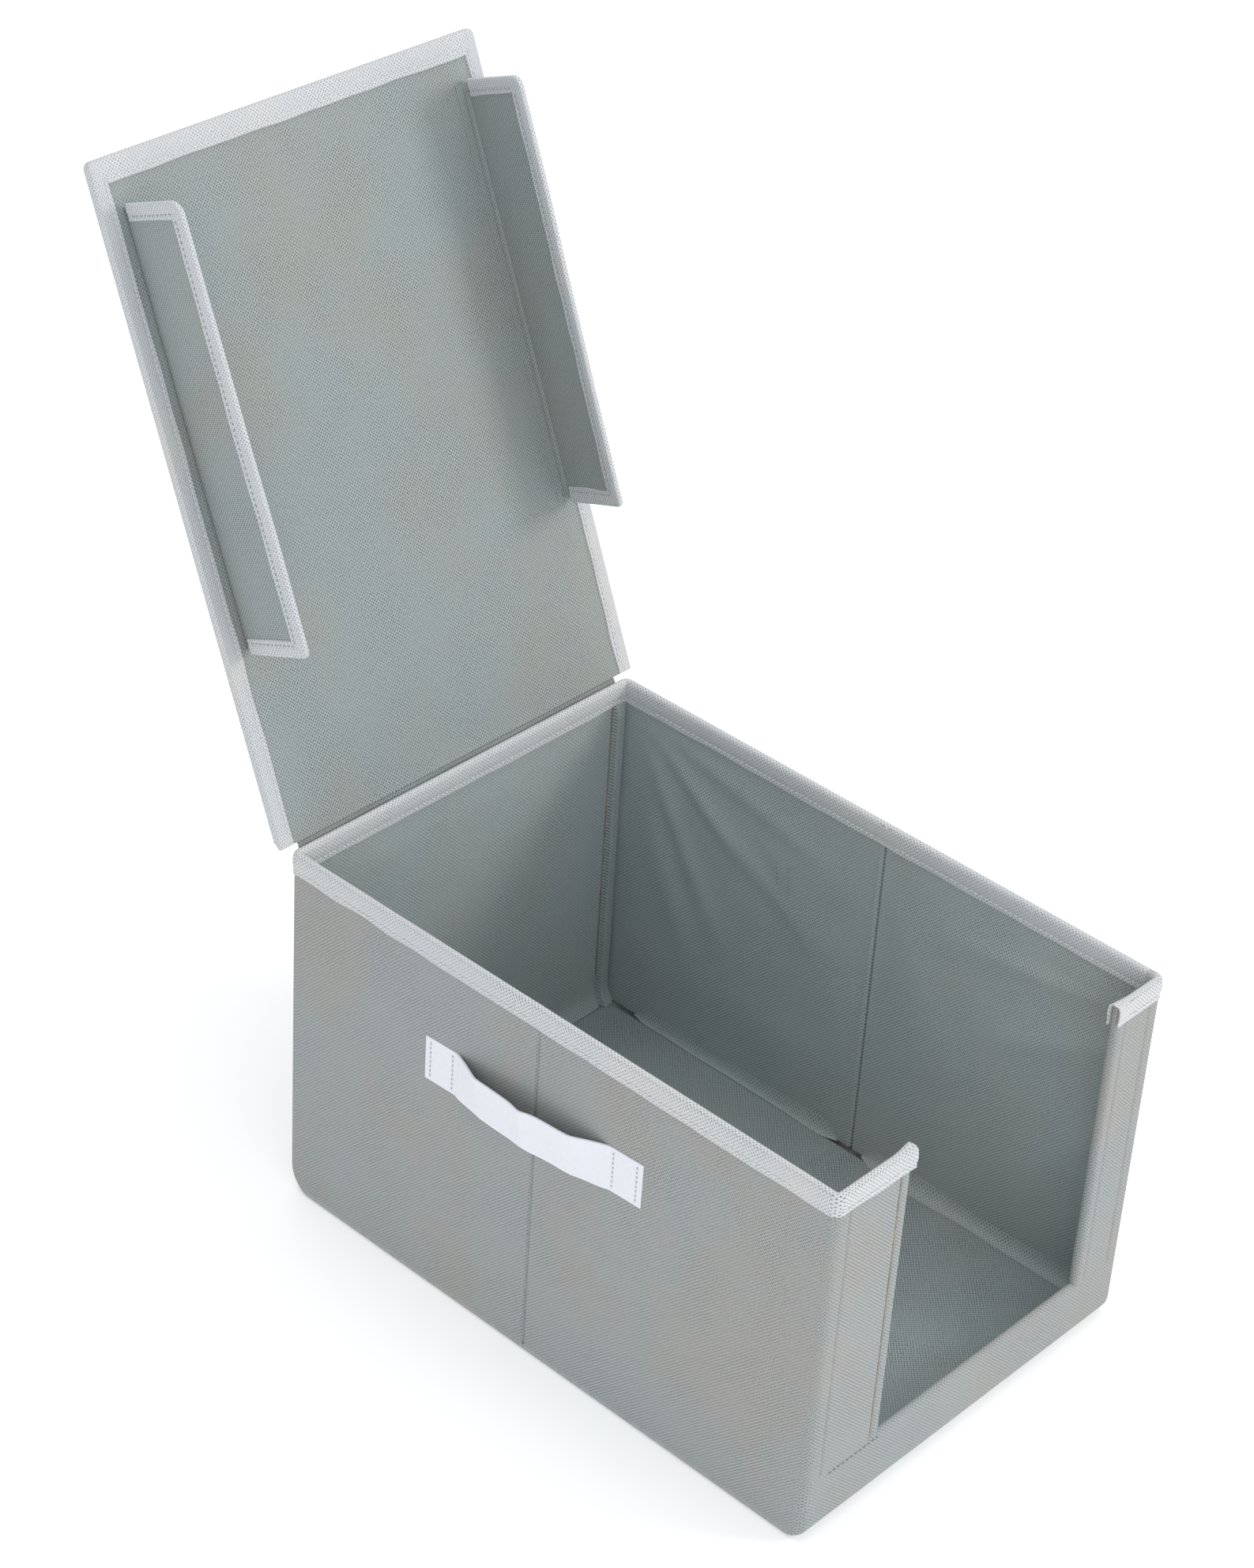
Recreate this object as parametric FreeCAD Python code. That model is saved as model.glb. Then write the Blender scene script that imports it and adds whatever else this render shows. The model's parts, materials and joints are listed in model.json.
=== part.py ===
"""Folding fabric storage bin with an open-fronted wall and a hinged lid.

Frame: the origin is the centre of the footprint, on the surface the bin stands on.
X runs across the bin, +Y towards the back wall that carries the lid, +Z up.
All lengths are in millimetres, all angles in degrees.

Every wall is a sandwich: outer fabric, a stiffening board, lining.  Each long wall is
two such panels joined by a vertical centre seam, so the bin folds flat against its back
wall.  The left wall folds nearest the back wall and the right wall in front of it, so
their pivots stand off the corners by one and three folding pitches.
"""
import FreeCAD, Part
import os

# ---- overall sizes -------------------------------------------------------------
WIDTH = 270.0            # across X, outside the walls
LENGTH = 400.0           # along Y, outside the walls
HEIGHT = 240.0           # rim of the walls above the floor, without the binding

# ---- materials in the sandwich ---------------------------------------------------
FABRIC = 0.6             # one ply of the non-woven fabric
BOARD = 2.8              # stiffening board in a wall or in the lid
BINDING = 0.8            # one ply of the edge binding
BINDING_DEPTH = 13.0     # how far a binding ply reaches in from the edge

# ---- folding of the walls --------------------------------------------------------
FOLD_GAP = 3.0           # free space between two panels when folded flat
PIVOT_GAP = 2.5          # panel edge to pivot line
BINDING_PIVOT_GAP = 3.3  # end of a binding to pivot line
BASE_GAP = 0.5           # between the base insert and the walls that slide over it

# ---- bottom and base insert ------------------------------------------------------
BOTTOM_FABRIC = 0.8      # bottom fabric, which the bin stands on
BOTTOM_CREASE = 1.0      # width left free at the crease across the bottom
INSERT_BOARD = 2.4       # board in the loose base insert
INSERT_LIFT = 0.1        # insert above the bottom fabric
INSERT_GAP = 2.0         # insert edge to the wall lining

# ---- front wall ------------------------------------------------------------------
LEFT_POST = 58.0         # width of the front wall left of the cut-out
RIGHT_POST = 42.0        # width of the front wall right of the cut-out
SILL_TOP = 44.5          # height of the cut-out's lower edge
SILL_BOARD_BOTTOM = 14.0 # sill board ends above the rounded lower edge
BACK_BOARD_BOTTOM = 26.0 # back board ends above the rounded lower edge
POST_BINDING_OVERHANG = 1.0   # raw end of a post's binding past the cut-out

# ---- lid -------------------------------------------------------------------------
LID_OVERHANG = 5.0       # lid past the outer face of each long wall
LID_SETBACK = 13.5       # shut lid's free edge behind the front wall's outer face
LID_OPEN = 113.0         # lid angle in the modelled pose, 0 when shut
LID_AXIS_BACK = 2.0      # hinge line behind the back wall
LID_CLEARANCE = 0.6      # between the lid's binding and the rim binding when shut
LID_START = 4.0          # hinge line to the lid's near edge
HINGE_STRIP_DEPTH = 16.0 # hinge strip's height on the back wall
HINGE_STRIP = 0.6

# ---- lid flaps -------------------------------------------------------------------
FLAP_LENGTH = 251.0
FLAP_END = 26.0          # flap's far end in from the lid's free edge
FLAP_DEPTH = 50.0        # how far a flap stands off the lid
FLAP_TUCK = 5.5          # flap's pivot line in from the long wall's lining
FLAP_PLY = 1.6           # thickness of a flap
FLAP_GAP = 0.6           # between a folded flap's binding and the lid's binding
FLAP_START = 1.5         # pivot line to the flap's edge
FLAP_BINDING_DEPTH = 9.0 # how far a flap's binding reaches in from its edges
LEFT_FLAP_ANGLE = 87.0   # 0 would lie outwards in the lid's plane, 90 stands square
RIGHT_FLAP_ANGLE = 97.0
FLAP_SEAM_WIDTH = 8.0    # seam allowance sewn to the lid
FLAP_SEAM = 0.6

# ---- handles ---------------------------------------------------------------------
HANDLE_SPAN = 162.0      # over both sewn ends
HANDLE_WIDTH = 29.0
HANDLE_STRAP = 1.2
HANDLE_TAB = 25.0        # length of a sewn end
HANDLE_RISE = 11.0       # how far the strap's inner face stands off the wall
HANDLE_SLOPE = 22.0      # length of each sloping stretch
HANDLE_DROP = 74.0       # strap's centre line below the rim
HANDLE_CENTRE = 8.0      # strap's middle along Y

# ---- values worked out from the sizes above --------------------------------------
WALL = 2 * FABRIC + BOARD
PITCH = WALL + FOLD_GAP
HALF_WIDTH = WIDTH / 2
HALF_LENGTH = LENGTH / 2
WALL_MID_X = HALF_WIDTH - WALL / 2
WALL_MID_Y = HALF_LENGTH - WALL / 2
INNER_X = HALF_WIDTH - WALL
INNER_Y = HALF_LENGTH - WALL
PANEL_PITCH = (2 * WALL_MID_Y - 5 * PITCH) / 2   # pivot to pivot along one half wall
INSERT = INSERT_BOARD + 2 * FABRIC
INSERT_BOTTOM = BOTTOM_FABRIC + INSERT_LIFT
WALL_BOTTOM = INSERT_BOTTOM + INSERT + BASE_GAP
RIM_TOP = HEIGHT + BINDING
LID_AXIS_Y = HALF_LENGTH + LID_AXIS_BACK
LID_AXIS_Z = RIM_TOP + BINDING + LID_CLEARANCE
LID_HALF_WIDTH = HALF_WIDTH + LID_OVERHANG
LID_FAR = LID_AXIS_Y + HALF_LENGTH - LID_SETBACK   # hinge line to the lid's free edge
FLAP_PIVOT_X = INNER_X - FLAP_TUCK
FLAP_STANDOFF = FLAP_PLY / 2 + 2 * BINDING + FLAP_GAP   # pivot line below the lid's lining
FLAP_FAR = LID_FAR - FLAP_END
HANDLE_HEIGHT = HEIGHT - HANDLE_DROP
CUT_LEFT = -HALF_WIDTH + LEFT_POST
CUT_RIGHT = HALF_WIDTH - RIGHT_POST

parts = {}


def block(x0, x1, y0, y1, z0, z1):
    """Box between two corners."""
    return Part.makeBox(x1 - x0, y1 - y0, z1 - z0, FreeCAD.Vector(x0, y0, z0))


def add(name, shape):
    """Keep a finished solid under its node's name."""
    parts[name] = shape


def fuse(shapes):
    """One solid from solids that share faces."""
    return shapes[0].multiFuse(shapes[1:]).removeSplitter()


def side_block(side, depth0, depth1, y0, y1, z0, z1):
    """Box in a long wall: depths are measured inwards from the wall's outer face."""
    outer, inner = side * (HALF_WIDTH - depth0), side * (HALF_WIDTH - depth1)
    return block(min(outer, inner), max(outer, inner), y0, y1, z0, z1)


def end_block(end, depth0, depth1, x0, x1, z0, z1):
    """Box in the back wall (end = 1) or the front wall (end = -1)."""
    outer, inner = end * (HALF_LENGTH - depth0), end * (HALF_LENGTH - depth1)
    return block(x0, x1, min(outer, inner), max(outer, inner), z0, z1)


def sandwich(name, make, board_make):
    """Outer fabric, board and lining of one panel."""
    add(name + "_outer", make(0, FABRIC))
    add(name + "_board", board_make(FABRIC, FABRIC + BOARD))
    add(name + "_lining", make(FABRIC + BOARD, WALL))


def binding_profile(make, inner=None):
    """Binding over the rim: a ply on each face and one over the top."""
    low = HEIGHT - BINDING_DEPTH
    inner = inner or make
    return fuse([
        make(-BINDING, 0, low, RIM_TOP),
        make(0, WALL, HEIGHT, RIM_TOP),
        inner(WALL, WALL + BINDING, low, RIM_TOP),
    ])


def rear_pivot_y(side):
    """Pivot line at the back corner: one pitch off on the left, three on the right."""
    return WALL_MID_Y - (1 if side < 0 else 3) * PITCH


def long_wall(side, word):
    """Two panels, the centre seam between them and the seams at both corners."""
    rear = rear_pivot_y(side)
    seam = rear - PANEL_PITCH
    front = seam - PITCH
    spans = {
        "rear": (seam + PIVOT_GAP, rear - PIVOT_GAP),
        "front": (front - PANEL_PITCH + PIVOT_GAP, front - PIVOT_GAP),
    }
    for half, (y0, y1) in spans.items():
        def panel(d0, d1, y0=y0, y1=y1):
            return side_block(side, d0, d1, y0, y1, WALL_BOTTOM, HEIGHT)
        sandwich(f"{word}_{half}", panel, panel)
        trim = BINDING_PIVOT_GAP - PIVOT_GAP
        def edge(d0, d1, z0, z1, y0=y0 + trim, y1=y1 - trim):
            return side_block(side, d0, d1, y0, y1, z0, z1)
        add(f"rim_binding_{word}_{half}", binding_profile(edge))
    add(f"centre_seam_{word}",
        side_block(side, 0, WALL, front + PIVOT_GAP, seam - PIVOT_GAP, WALL_BOTTOM, HEIGHT))
    add(f"corner_seam_back_{word}",
        side_block(side, 0, WALL, rear + PIVOT_GAP, INNER_Y, WALL_BOTTOM, HEIGHT))
    add(f"corner_seam_front_{word}",
        side_block(side, 0, WALL, -INNER_Y, front - PANEL_PITCH - PIVOT_GAP, WALL_BOTTOM, HEIGHT))


def corner_binding(side, end):
    """Binding over a corner seam, run into the binding of the end wall."""
    if end > 0:
        start = rear_pivot_y(side) + BINDING_PIVOT_GAP
    else:
        start = rear_pivot_y(side) - 2 * PANEL_PITCH - PITCH - BINDING_PIVOT_GAP

    def edge(d0, d1, z0, z1):
        reach = HALF_LENGTH + BINDING if d1 <= 0 else INNER_Y
        y0, y1 = sorted((start, end * reach))
        return side_block(side, d0, d1, y0, y1, z0, z1)
    return binding_profile(edge)


def back_wall():
    """Back wall, which the bin folds against and the lid hangs on."""
    def panel(d0, d1):
        return end_block(1, d0, d1, -HALF_WIDTH, HALF_WIDTH, WALL_BOTTOM, HEIGHT)

    def board(d0, d1):
        return end_block(1, d0, d1, -HALF_WIDTH, HALF_WIDTH, BACK_BOARD_BOTTOM, HEIGHT)
    sandwich("back", panel, board)

    def edge(d0, d1, z0, z1, reach=HALF_WIDTH):
        return end_block(1, d0, d1, -reach, reach, z0, z1)

    def inner_edge(d0, d1, z0, z1):
        return edge(d0, d1, z0, z1, INNER_X)
    add("rim_binding_back", fuse([binding_profile(edge, inner_edge),
                                  corner_binding(-1, 1), corner_binding(1, 1)]))


def front_wall():
    """Two posts and a sill round the cut-out in the front wall."""
    over = POST_BINDING_OVERHANG
    for side, word, cut in ((-1, "left", CUT_LEFT), (1, "right", CUT_RIGHT)):
        def post(d0, d1, z0=SILL_TOP, z1=HEIGHT, corner=side * HALF_WIDTH, cut=cut):
            return end_block(-1, d0, d1, min(corner, cut), max(corner, cut), z0, z1)
        sandwich(f"{word}_post", post, post)

        def edge(d0, d1, z0, z1, corner=side * HALF_WIDTH, cut=cut - side * over):
            return post(d0, d1, z0, z1, corner, cut)

        def inner_edge(d0, d1, z0, z1, side=side):
            return edge(d0, d1, z0, z1, side * INNER_X)
        add(f"rim_binding_{word}_post",
            fuse([binding_profile(edge, inner_edge), corner_binding(side, -1)]))

    def sill(d0, d1):
        return end_block(-1, d0, d1, -HALF_WIDTH, HALF_WIDTH, WALL_BOTTOM, SILL_TOP)

    def sill_board(d0, d1):
        return end_block(-1, d0, d1, -HALF_WIDTH, HALF_WIDTH, SILL_BOARD_BOTTOM, SILL_TOP)
    sandwich("sill", sill, sill_board)


def bottom():
    """Bottom fabric in two halves that meet at a crease, and the loose base insert."""
    crease = rear_pivot_y(-1) - PANEL_PITCH - PITCH / 2
    add("bottom_rear", block(-HALF_WIDTH, HALF_WIDTH, crease + BOTTOM_CREASE / 2, HALF_LENGTH,
                             0, BOTTOM_FABRIC))
    add("bottom_front", block(-HALF_WIDTH, HALF_WIDTH, -HALF_LENGTH, crease - BOTTOM_CREASE / 2,
                              0, BOTTOM_FABRIC))
    x, y = INNER_X - INSERT_GAP, INNER_Y - INSERT_GAP
    level = INSERT_BOTTOM
    for name, thick in (("base_cover_lower", FABRIC), ("base_board", INSERT_BOARD),
                        ("base_cover_upper", FABRIC)):
        add(name, block(-x, x, -y, y, level, level + thick))
        level += thick


def lid_block(x0, x1, along0, along1, out0, out1):
    """Box on the shut lid: along runs from the hinge line to the free edge, out is up."""
    return block(x0, x1, LID_AXIS_Y - along1, LID_AXIS_Y - along0,
                 LID_AXIS_Z + out0, LID_AXIS_Z + out1)


def opened(shape):
    """The shape turned with the lid from shut to its modelled angle."""
    turned = shape.copy()
    turned.rotate(FreeCAD.Vector(0, LID_AXIS_Y, LID_AXIS_Z), FreeCAD.Vector(1, 0, 0), -LID_OPEN)
    return turned


def lid():
    """Lid panel, its binding on three edges and the hinge strip on the back wall."""
    half, far = LID_HALF_WIDTH, LID_FAR
    layers = (("lid_lining", 0, FABRIC), ("lid_board", FABRIC, FABRIC + BOARD),
              ("lid_outer", FABRIC + BOARD, WALL))
    for name, low, high in layers:
        add(name, opened(lid_block(-half, half, LID_START, far, low, high)))
    depth, out = BINDING_DEPTH, BINDING
    strips = []
    for low, high in ((-out, 0), (WALL, WALL + out)):
        strips.append(lid_block(-half, -half + depth, LID_START, far, low, high))
        strips.append(lid_block(half - depth, half, LID_START, far, low, high))
        strips.append(lid_block(-half + depth, half - depth, far - depth, far, low, high))
    strips.append(lid_block(-half - out, -half, LID_START, far + out, -out, WALL + out))
    strips.append(lid_block(half, half + out, LID_START, far + out, -out, WALL + out))
    strips.append(lid_block(-half, half, far, far + out, -out, WALL + out))
    add("lid_binding", opened(fuse(strips)))
    face = HALF_LENGTH + BINDING
    add("lid_hinge_strip", block(-HALF_WIDTH, HALF_WIDTH, face, face + HINGE_STRIP,
                                 RIM_TOP - HINGE_STRIP_DEPTH, RIM_TOP))


def flaps():
    """Tuck-in flaps on the lid, each turned about its pivot line to its own angle."""
    for side, word, angle in ((-1, "left", LEFT_FLAP_ANGLE), (1, "right", RIGHT_FLAP_ANGLE)):
        pivot = FreeCAD.Vector(side * FLAP_PIVOT_X, 0, LID_AXIS_Z - FLAP_STANDOFF)
        a0, a1 = FLAP_FAR - FLAP_LENGTH, FLAP_FAR

        def flat(depth0, depth1, along0, along1, thick):
            """Box in the flap lying outwards: depths run away from the pivot line."""
            x0, x1 = sorted((pivot.x + side * depth0, pivot.x + side * depth1))
            mid = -FLAP_STANDOFF
            return lid_block(x0, x1, along0, along1, mid - thick / 2, mid + thick / 2)

        def turned(shape):
            moved = shape.copy()
            moved.rotate(pivot, FreeCAD.Vector(0, 1, 0), side * angle)
            return opened(moved)

        edge = FLAP_BINDING_DEPTH
        thick = FLAP_PLY + 2 * BINDING
        panel = flat(FLAP_START, FLAP_DEPTH, a0, a1, FLAP_PLY)
        band = fuse([
            flat(FLAP_DEPTH - edge, FLAP_DEPTH + BINDING, a0 - BINDING, a1 + BINDING, thick),
            flat(FLAP_START, FLAP_DEPTH - edge, a0 - BINDING, a0 + edge, thick),
            flat(FLAP_START, FLAP_DEPTH - edge, a1 - edge, a1 + BINDING, thick),
        ])
        add(f"flap_{word}", turned(panel))
        add(f"flap_binding_{word}", turned(band.cut(panel)))
        x0, x1 = sorted((pivot.x, pivot.x - side * FLAP_SEAM_WIDTH))
        add(f"flap_seam_{word}", opened(lid_block(x0, x1, a0, a1, -FLAP_SEAM, 0)))


def handles():
    """Strap handles: flat sewn ends, sloping stretches and a raised middle."""
    half = HANDLE_SPAN / 2
    for side, word in ((-1, "left"), (1, "right")):
        stations = [
            (-half, 0), (-half + HANDLE_TAB, 0),
            (-half + HANDLE_TAB + HANDLE_SLOPE, HANDLE_RISE),
            (half - HANDLE_TAB - HANDLE_SLOPE, HANDLE_RISE),
            (half - HANDLE_TAB, 0), (half, 0),
        ]
        inner = [FreeCAD.Vector(side * (HALF_WIDTH + rise), HANDLE_CENTRE + along,
                                HANDLE_HEIGHT - HANDLE_WIDTH / 2) for along, rise in stations]
        outer = [FreeCAD.Vector(p.x + side * HANDLE_STRAP, p.y, p.z) for p in reversed(inner)]
        loop = inner + outer
        face = Part.Face(Part.makePolygon(loop + [loop[0]]))
        add(f"handle_{word}", face.extrude(FreeCAD.Vector(0, 0, HANDLE_WIDTH)))


def check_and_write():
    """Each node is valid and closed, and goes into its own STEP file."""
    os.makedirs("parts", exist_ok=True)
    for name, shape in parts.items():
        if not shape.isValid() or not shape.Solids or shape.Volume <= 0:
            raise ValueError(f"{name} is not a valid solid")
        shape.exportStep(f"parts/{name}.step")
    print(len(parts), "nodes; half wall pivot to pivot", PANEL_PITCH, "mm")


back_wall()
for wall_side, wall_word in ((-1, "left"), (1, "right")):
    long_wall(wall_side, wall_word)
front_wall()
bottom()
lid()
flaps()
handles()
check_and_write()
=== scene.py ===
"""A folding fabric storage bin with a lid, drawn over its fixed CAD frame.

Every surface is a function on a grid, worked out as whole arrays in millimetres; meshes are in metres.
"""

import json

import bpy
import numpy as np
from mathutils import Matrix, Vector


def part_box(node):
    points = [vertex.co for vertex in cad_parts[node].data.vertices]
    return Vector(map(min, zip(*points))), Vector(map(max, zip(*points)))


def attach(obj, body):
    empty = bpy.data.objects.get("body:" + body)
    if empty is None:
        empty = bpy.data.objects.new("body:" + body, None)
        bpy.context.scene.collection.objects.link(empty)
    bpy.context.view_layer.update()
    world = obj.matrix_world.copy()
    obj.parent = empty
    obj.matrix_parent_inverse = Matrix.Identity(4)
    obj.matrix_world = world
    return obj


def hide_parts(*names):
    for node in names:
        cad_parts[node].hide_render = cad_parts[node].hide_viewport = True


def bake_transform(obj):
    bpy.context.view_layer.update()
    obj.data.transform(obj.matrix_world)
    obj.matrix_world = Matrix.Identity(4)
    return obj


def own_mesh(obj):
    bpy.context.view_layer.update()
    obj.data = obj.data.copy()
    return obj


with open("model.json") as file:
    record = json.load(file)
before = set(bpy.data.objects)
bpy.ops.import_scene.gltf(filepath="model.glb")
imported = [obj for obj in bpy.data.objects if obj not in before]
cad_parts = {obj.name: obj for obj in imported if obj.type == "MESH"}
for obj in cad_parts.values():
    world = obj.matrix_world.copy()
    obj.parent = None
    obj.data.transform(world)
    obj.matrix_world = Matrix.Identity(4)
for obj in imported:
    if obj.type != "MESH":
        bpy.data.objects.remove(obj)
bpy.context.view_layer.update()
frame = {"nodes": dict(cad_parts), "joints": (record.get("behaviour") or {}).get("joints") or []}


def low(node):
    """Lowest corner of a CAD node, in millimetres."""
    return np.array(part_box(node)[0]) * 1000


def high(node):
    """Highest corner of a CAD node, in millimetres."""
    return np.array(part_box(node)[1]) * 1000


# Sizes taken from the frame, in millimetres
HALF_X = high("back_outer")[0]
HALF_Y = high("back_outer")[1]
RIM = high("back_outer")[2]
PLY = HALF_Y - low("back_outer")[1]
HALF_WALL = (HALF_Y - low("back_lining")[1]) / 2
TAPE = high("rim_binding_back")[2] - RIM
TAPE_LOW = low("rim_binding_back")[2]
WALL_LOW = low("back_lining")[2]
SILL_TOP = high("sill_outer")[2]
CUT_LEFT = high("left_post_outer")[0]
CUT_RIGHT = low("right_post_outer")[0]
MID_X = HALF_X - HALF_WALL
MID_Y = HALF_Y - HALF_WALL
CORNER = 3.0
REAR_ROLL = 18.0
FRONT_ROLL = 12.0
CREASE_LEFT = 7.0
CREASE_RIGHT = -7.0

JOINTS = {j["name"]: j for j in frame["joints"]}
FOLDS = {
    "back": "left_rear_fold",
    "left_rear_wall": "left_rear_fold",
    "right_front_wall": "left_rear_fold",
    "left_front_wall": "right_rear_fold",
    "right_rear_wall": "right_rear_fold",
}


# ---------------------------------------------------------------- curves and fields


def rise(x, start, end):
    """0 before start, 1 after end, and 3t^2 - 2t^3 between."""
    t = np.clip((x - start) / (end - start), 0, 1)
    return t * t * (3 - 2 * t)


def hump(x, centre, width):
    """A bell: e to the power of minus the square of the distance over the width."""
    return np.exp(-(((x - centre) / width) ** 2))


def ripple(a, b, size, seed):
    """Soft ups and downs, about -1 to 1: twelve sine waves of about one length, in seeded directions."""
    rng = np.random.default_rng(seed)
    total = np.zeros(np.broadcast(a, b).shape)
    for turn, phase, stretch in rng.uniform(0, 1, (12, 3)):
        wave = 2 * np.pi / (size * (0.7 + 0.9 * stretch))
        total += np.sin((a * np.cos(np.pi * turn) + b * np.sin(np.pi * turn)) * wave + 2 * np.pi * phase)
    return total / 4.2


def fold(a, b, start, end, width, height):
    """A soft ridge along a line: a bell across it, and a sine from end to end."""
    da, db = end[0] - start[0], end[1] - start[1]
    length = np.hypot(da, db)
    along = ((a - start[0]) * da + (b - start[1]) * db) / length**2
    across = ((a - start[0]) * db - (b - start[1]) * da) / length
    reach = np.sin(np.pi * np.clip(along, 0, 1)) ** 0.8
    return height * reach * hump(across, 0, width * (0.6 + 0.8 * np.clip(along, 0, 1)))


def spaced(start, end, step, fine=(), reach=4.0, fine_step=0.5):
    """Places from start to end at about the given step, and closer together near each of the fine ones."""
    count = max(2, int(abs(end - start) / step) + 1)
    places = [np.linspace(start, end, count)]
    bottom, top = min(start, end), max(start, end)
    for centre in fine:
        near = np.arange(centre - reach, centre + reach, fine_step)
        places.append(near[(near > bottom + 0.3) & (near < top - 0.3)])
    run = np.unique(np.round(np.concatenate(places), 2))
    return run if start < end else run[::-1]


def smoothed(values):
    """A running mean over five neighbours, weighted 1, 2, 3, 2 and 1, with the ends held."""
    weights = np.array([1, 2, 3, 2, 1]) / 9
    held = np.concatenate([values[:1]] * 2 + [values] + [values[-1:]] * 2)
    if values.ndim == 1:
        return np.convolve(held, weights, "valid")
    return np.stack([np.convolve(column, weights, "valid") for column in held.T], -1)


def bent_path(knots, count):
    """A smoothed path through knots at even steps, with its unit normal and the run along it."""
    places = np.arange(len(knots))
    t = np.linspace(0, len(knots) - 1, count)
    path = smoothed(np.stack([np.interp(t, places, knots[:, k]) for k in (0, 1)], -1))
    step = np.gradient(path, axis=0)
    normal = np.stack([step[:, 1], -step[:, 0]], -1) / np.linalg.norm(step, axis=1)[:, None]
    return t, path, normal, length_along(path)


def crossed(first, second):
    """Two runs crossed into a grid of pairs."""
    return np.stack(np.broadcast_arrays(first[:, None], second[None, :]), -1)


def panel_grid(a, b):
    """A panel's grid from its two runs, with each point's distance from the panel's edge."""
    ga, gb = np.meshgrid(a, b, indexing="ij")
    edge = np.minimum(np.minimum(ga - a[0], a[-1] - ga), np.minimum(gb - b[0], b[-1] - gb))
    return ga, gb, edge


def length_along(points):
    """Distance run from the first point to each of the others."""
    steps = np.linalg.norm(np.diff(points, axis=0), axis=1)
    return np.concatenate([[0], np.cumsum(steps)])


def turn(centre, radius, first, last, count=7):
    """Points on an arc, in degrees."""
    t = np.radians(np.linspace(first, last, count))
    return np.stack([centre[0] + radius * np.cos(t), centre[1] + radius * np.sin(t)], -1)


# ---------------------------------------------------------------- meshes


def to_object(name, points, faces, uv, material):
    """Make a mesh with a UV map from points in millimetres and faces, with the faces turned outwards."""
    a, b, c, d = (points[faces[:, k]] for k in range(4))
    inside = np.einsum("ij,ij->i", a, np.cross(b, c)) + np.einsum("ij,ij->i", a, np.cross(c, d))
    if inside.sum() < 0:
        faces = faces[:, ::-1]
    mesh = bpy.data.meshes.new(name)
    mesh.vertices.add(len(points))
    mesh.vertices.foreach_set("co", (points * 0.001).astype(np.float32).ravel())
    mesh.loops.add(faces.size)
    mesh.loops.foreach_set("vertex_index", faces.astype(np.int32).ravel())
    mesh.polygons.add(len(faces))
    mesh.polygons.foreach_set("loop_start", np.arange(0, faces.size, 4, dtype=np.int32))
    mesh.update(calc_edges=True)
    layer = mesh.uv_layers.new(name="Cloth")
    layer.data.foreach_set("uv", (uv[faces.ravel()] * 0.001).astype(np.float32).ravel())
    mesh.materials.append(material)
    piece = bpy.data.objects.new(name, mesh)
    bpy.context.scene.collection.objects.link(piece)
    return piece


def weld(piece):
    """Merge the points that lie on each other, so seams and poles are closed."""
    import bmesh

    work = bmesh.new()
    work.from_mesh(piece.data)
    bmesh.ops.remove_doubles(work, verts=work.verts, dist=2e-6)
    bmesh.ops.dissolve_degenerate(work, edges=work.edges, dist=1e-6)
    work.to_mesh(piece.data)
    work.free()


def shell(name, face, back, uv, material, slot, welded=False):
    """A closed skin: a grid of points on each side of the cloth, joined round the rim.

    Shading is smooth, with a hard edge where two faces meet at more than 35 degrees.
    """
    rows, columns = face.shape[:2]
    index = np.arange(rows * columns).reshape(rows, columns)
    quads = [index[:-1, :-1], index[1:, :-1], index[1:, 1:], index[:-1, 1:]]
    front = np.stack([q.ravel() for q in quads], -1)
    shift = rows * columns
    edges = [index[0], index[-1][::-1], index[:, -1], index[:, 0][::-1]]
    strips = [np.stack([edge[:-1], edge[1:], edge[1:] + shift, edge[:-1] + shift], -1) for edge in edges]
    faces = np.concatenate([front, front[:, ::-1] + shift, *strips])
    points = np.concatenate([face.reshape(-1, 3), back.reshape(-1, 3)])
    flat = uv.reshape(-1, 2)
    piece = to_object(name, points, faces, np.concatenate([flat, flat]), material)
    if welded:
        weld(piece)
    piece.data.shade_smooth()
    piece.data.set_sharp_from_angle(angle=np.radians(35))
    return piece


# ---------------------------------------------------------------- walls in plan


def tuck(points):
    """Draw the foot of the end walls in, so that side and end roll into the bottom on a quarter circle."""
    x, y, z = points[..., 0], points[..., 1], points[..., 2]
    rear = REAR_ROLL - np.sqrt(REAR_ROLL**2 - np.clip(REAR_ROLL - z, 0, REAR_ROLL) ** 2)
    front = FRONT_ROLL - np.sqrt(FRONT_ROLL**2 - np.clip(FRONT_ROLL - z, 0, FRONT_ROLL) ** 2)
    moved = y - rear * np.clip((y - 175) / 20, 0, 1) + front * np.clip((-175 - y) / 20, 0, 1)
    return np.stack([x, moved, z], -1)


def side_line(side, places):
    """Stations down a long wall: x, y, outward normal, and the run along it."""
    one = np.ones_like(places)
    return np.stack([side * MID_X * one, places, side * one, 0 * one, places], -1)


def end_line(end, left=None, right=None, fine=()):
    """Stations across an end wall, with its rounded corners, from the left to the right."""
    inner_x, inner_y = MID_X - CORNER, MID_Y - CORNER

    def corner(x, first, last):
        angles = np.radians(np.linspace(first, last, 7))
        cos, sin = np.cos(angles), np.sin(angles)
        return [np.stack([x + CORNER * cos, end * (inner_y + CORNER * sin), cos, end * sin], -1)]

    a = -inner_x if left is None else left
    b = inner_x if right is None else right
    x = spaced(a, b, 4.0, fine)[(1 if left is None else 0) : (-1 if right is None else None)]
    one = np.ones_like(x)
    middle = np.stack([x, end * MID_Y * one, 0 * one, end * one], -1)
    before = corner(-inner_x, 180, 90) if left is None else []
    after = corner(inner_x, 90, 0) if right is None else []
    line = np.concatenate([*before, middle, *after])
    run = length_along(line[:, :2])
    return np.concatenate([line, run[:, None] + 400], 1)


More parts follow.
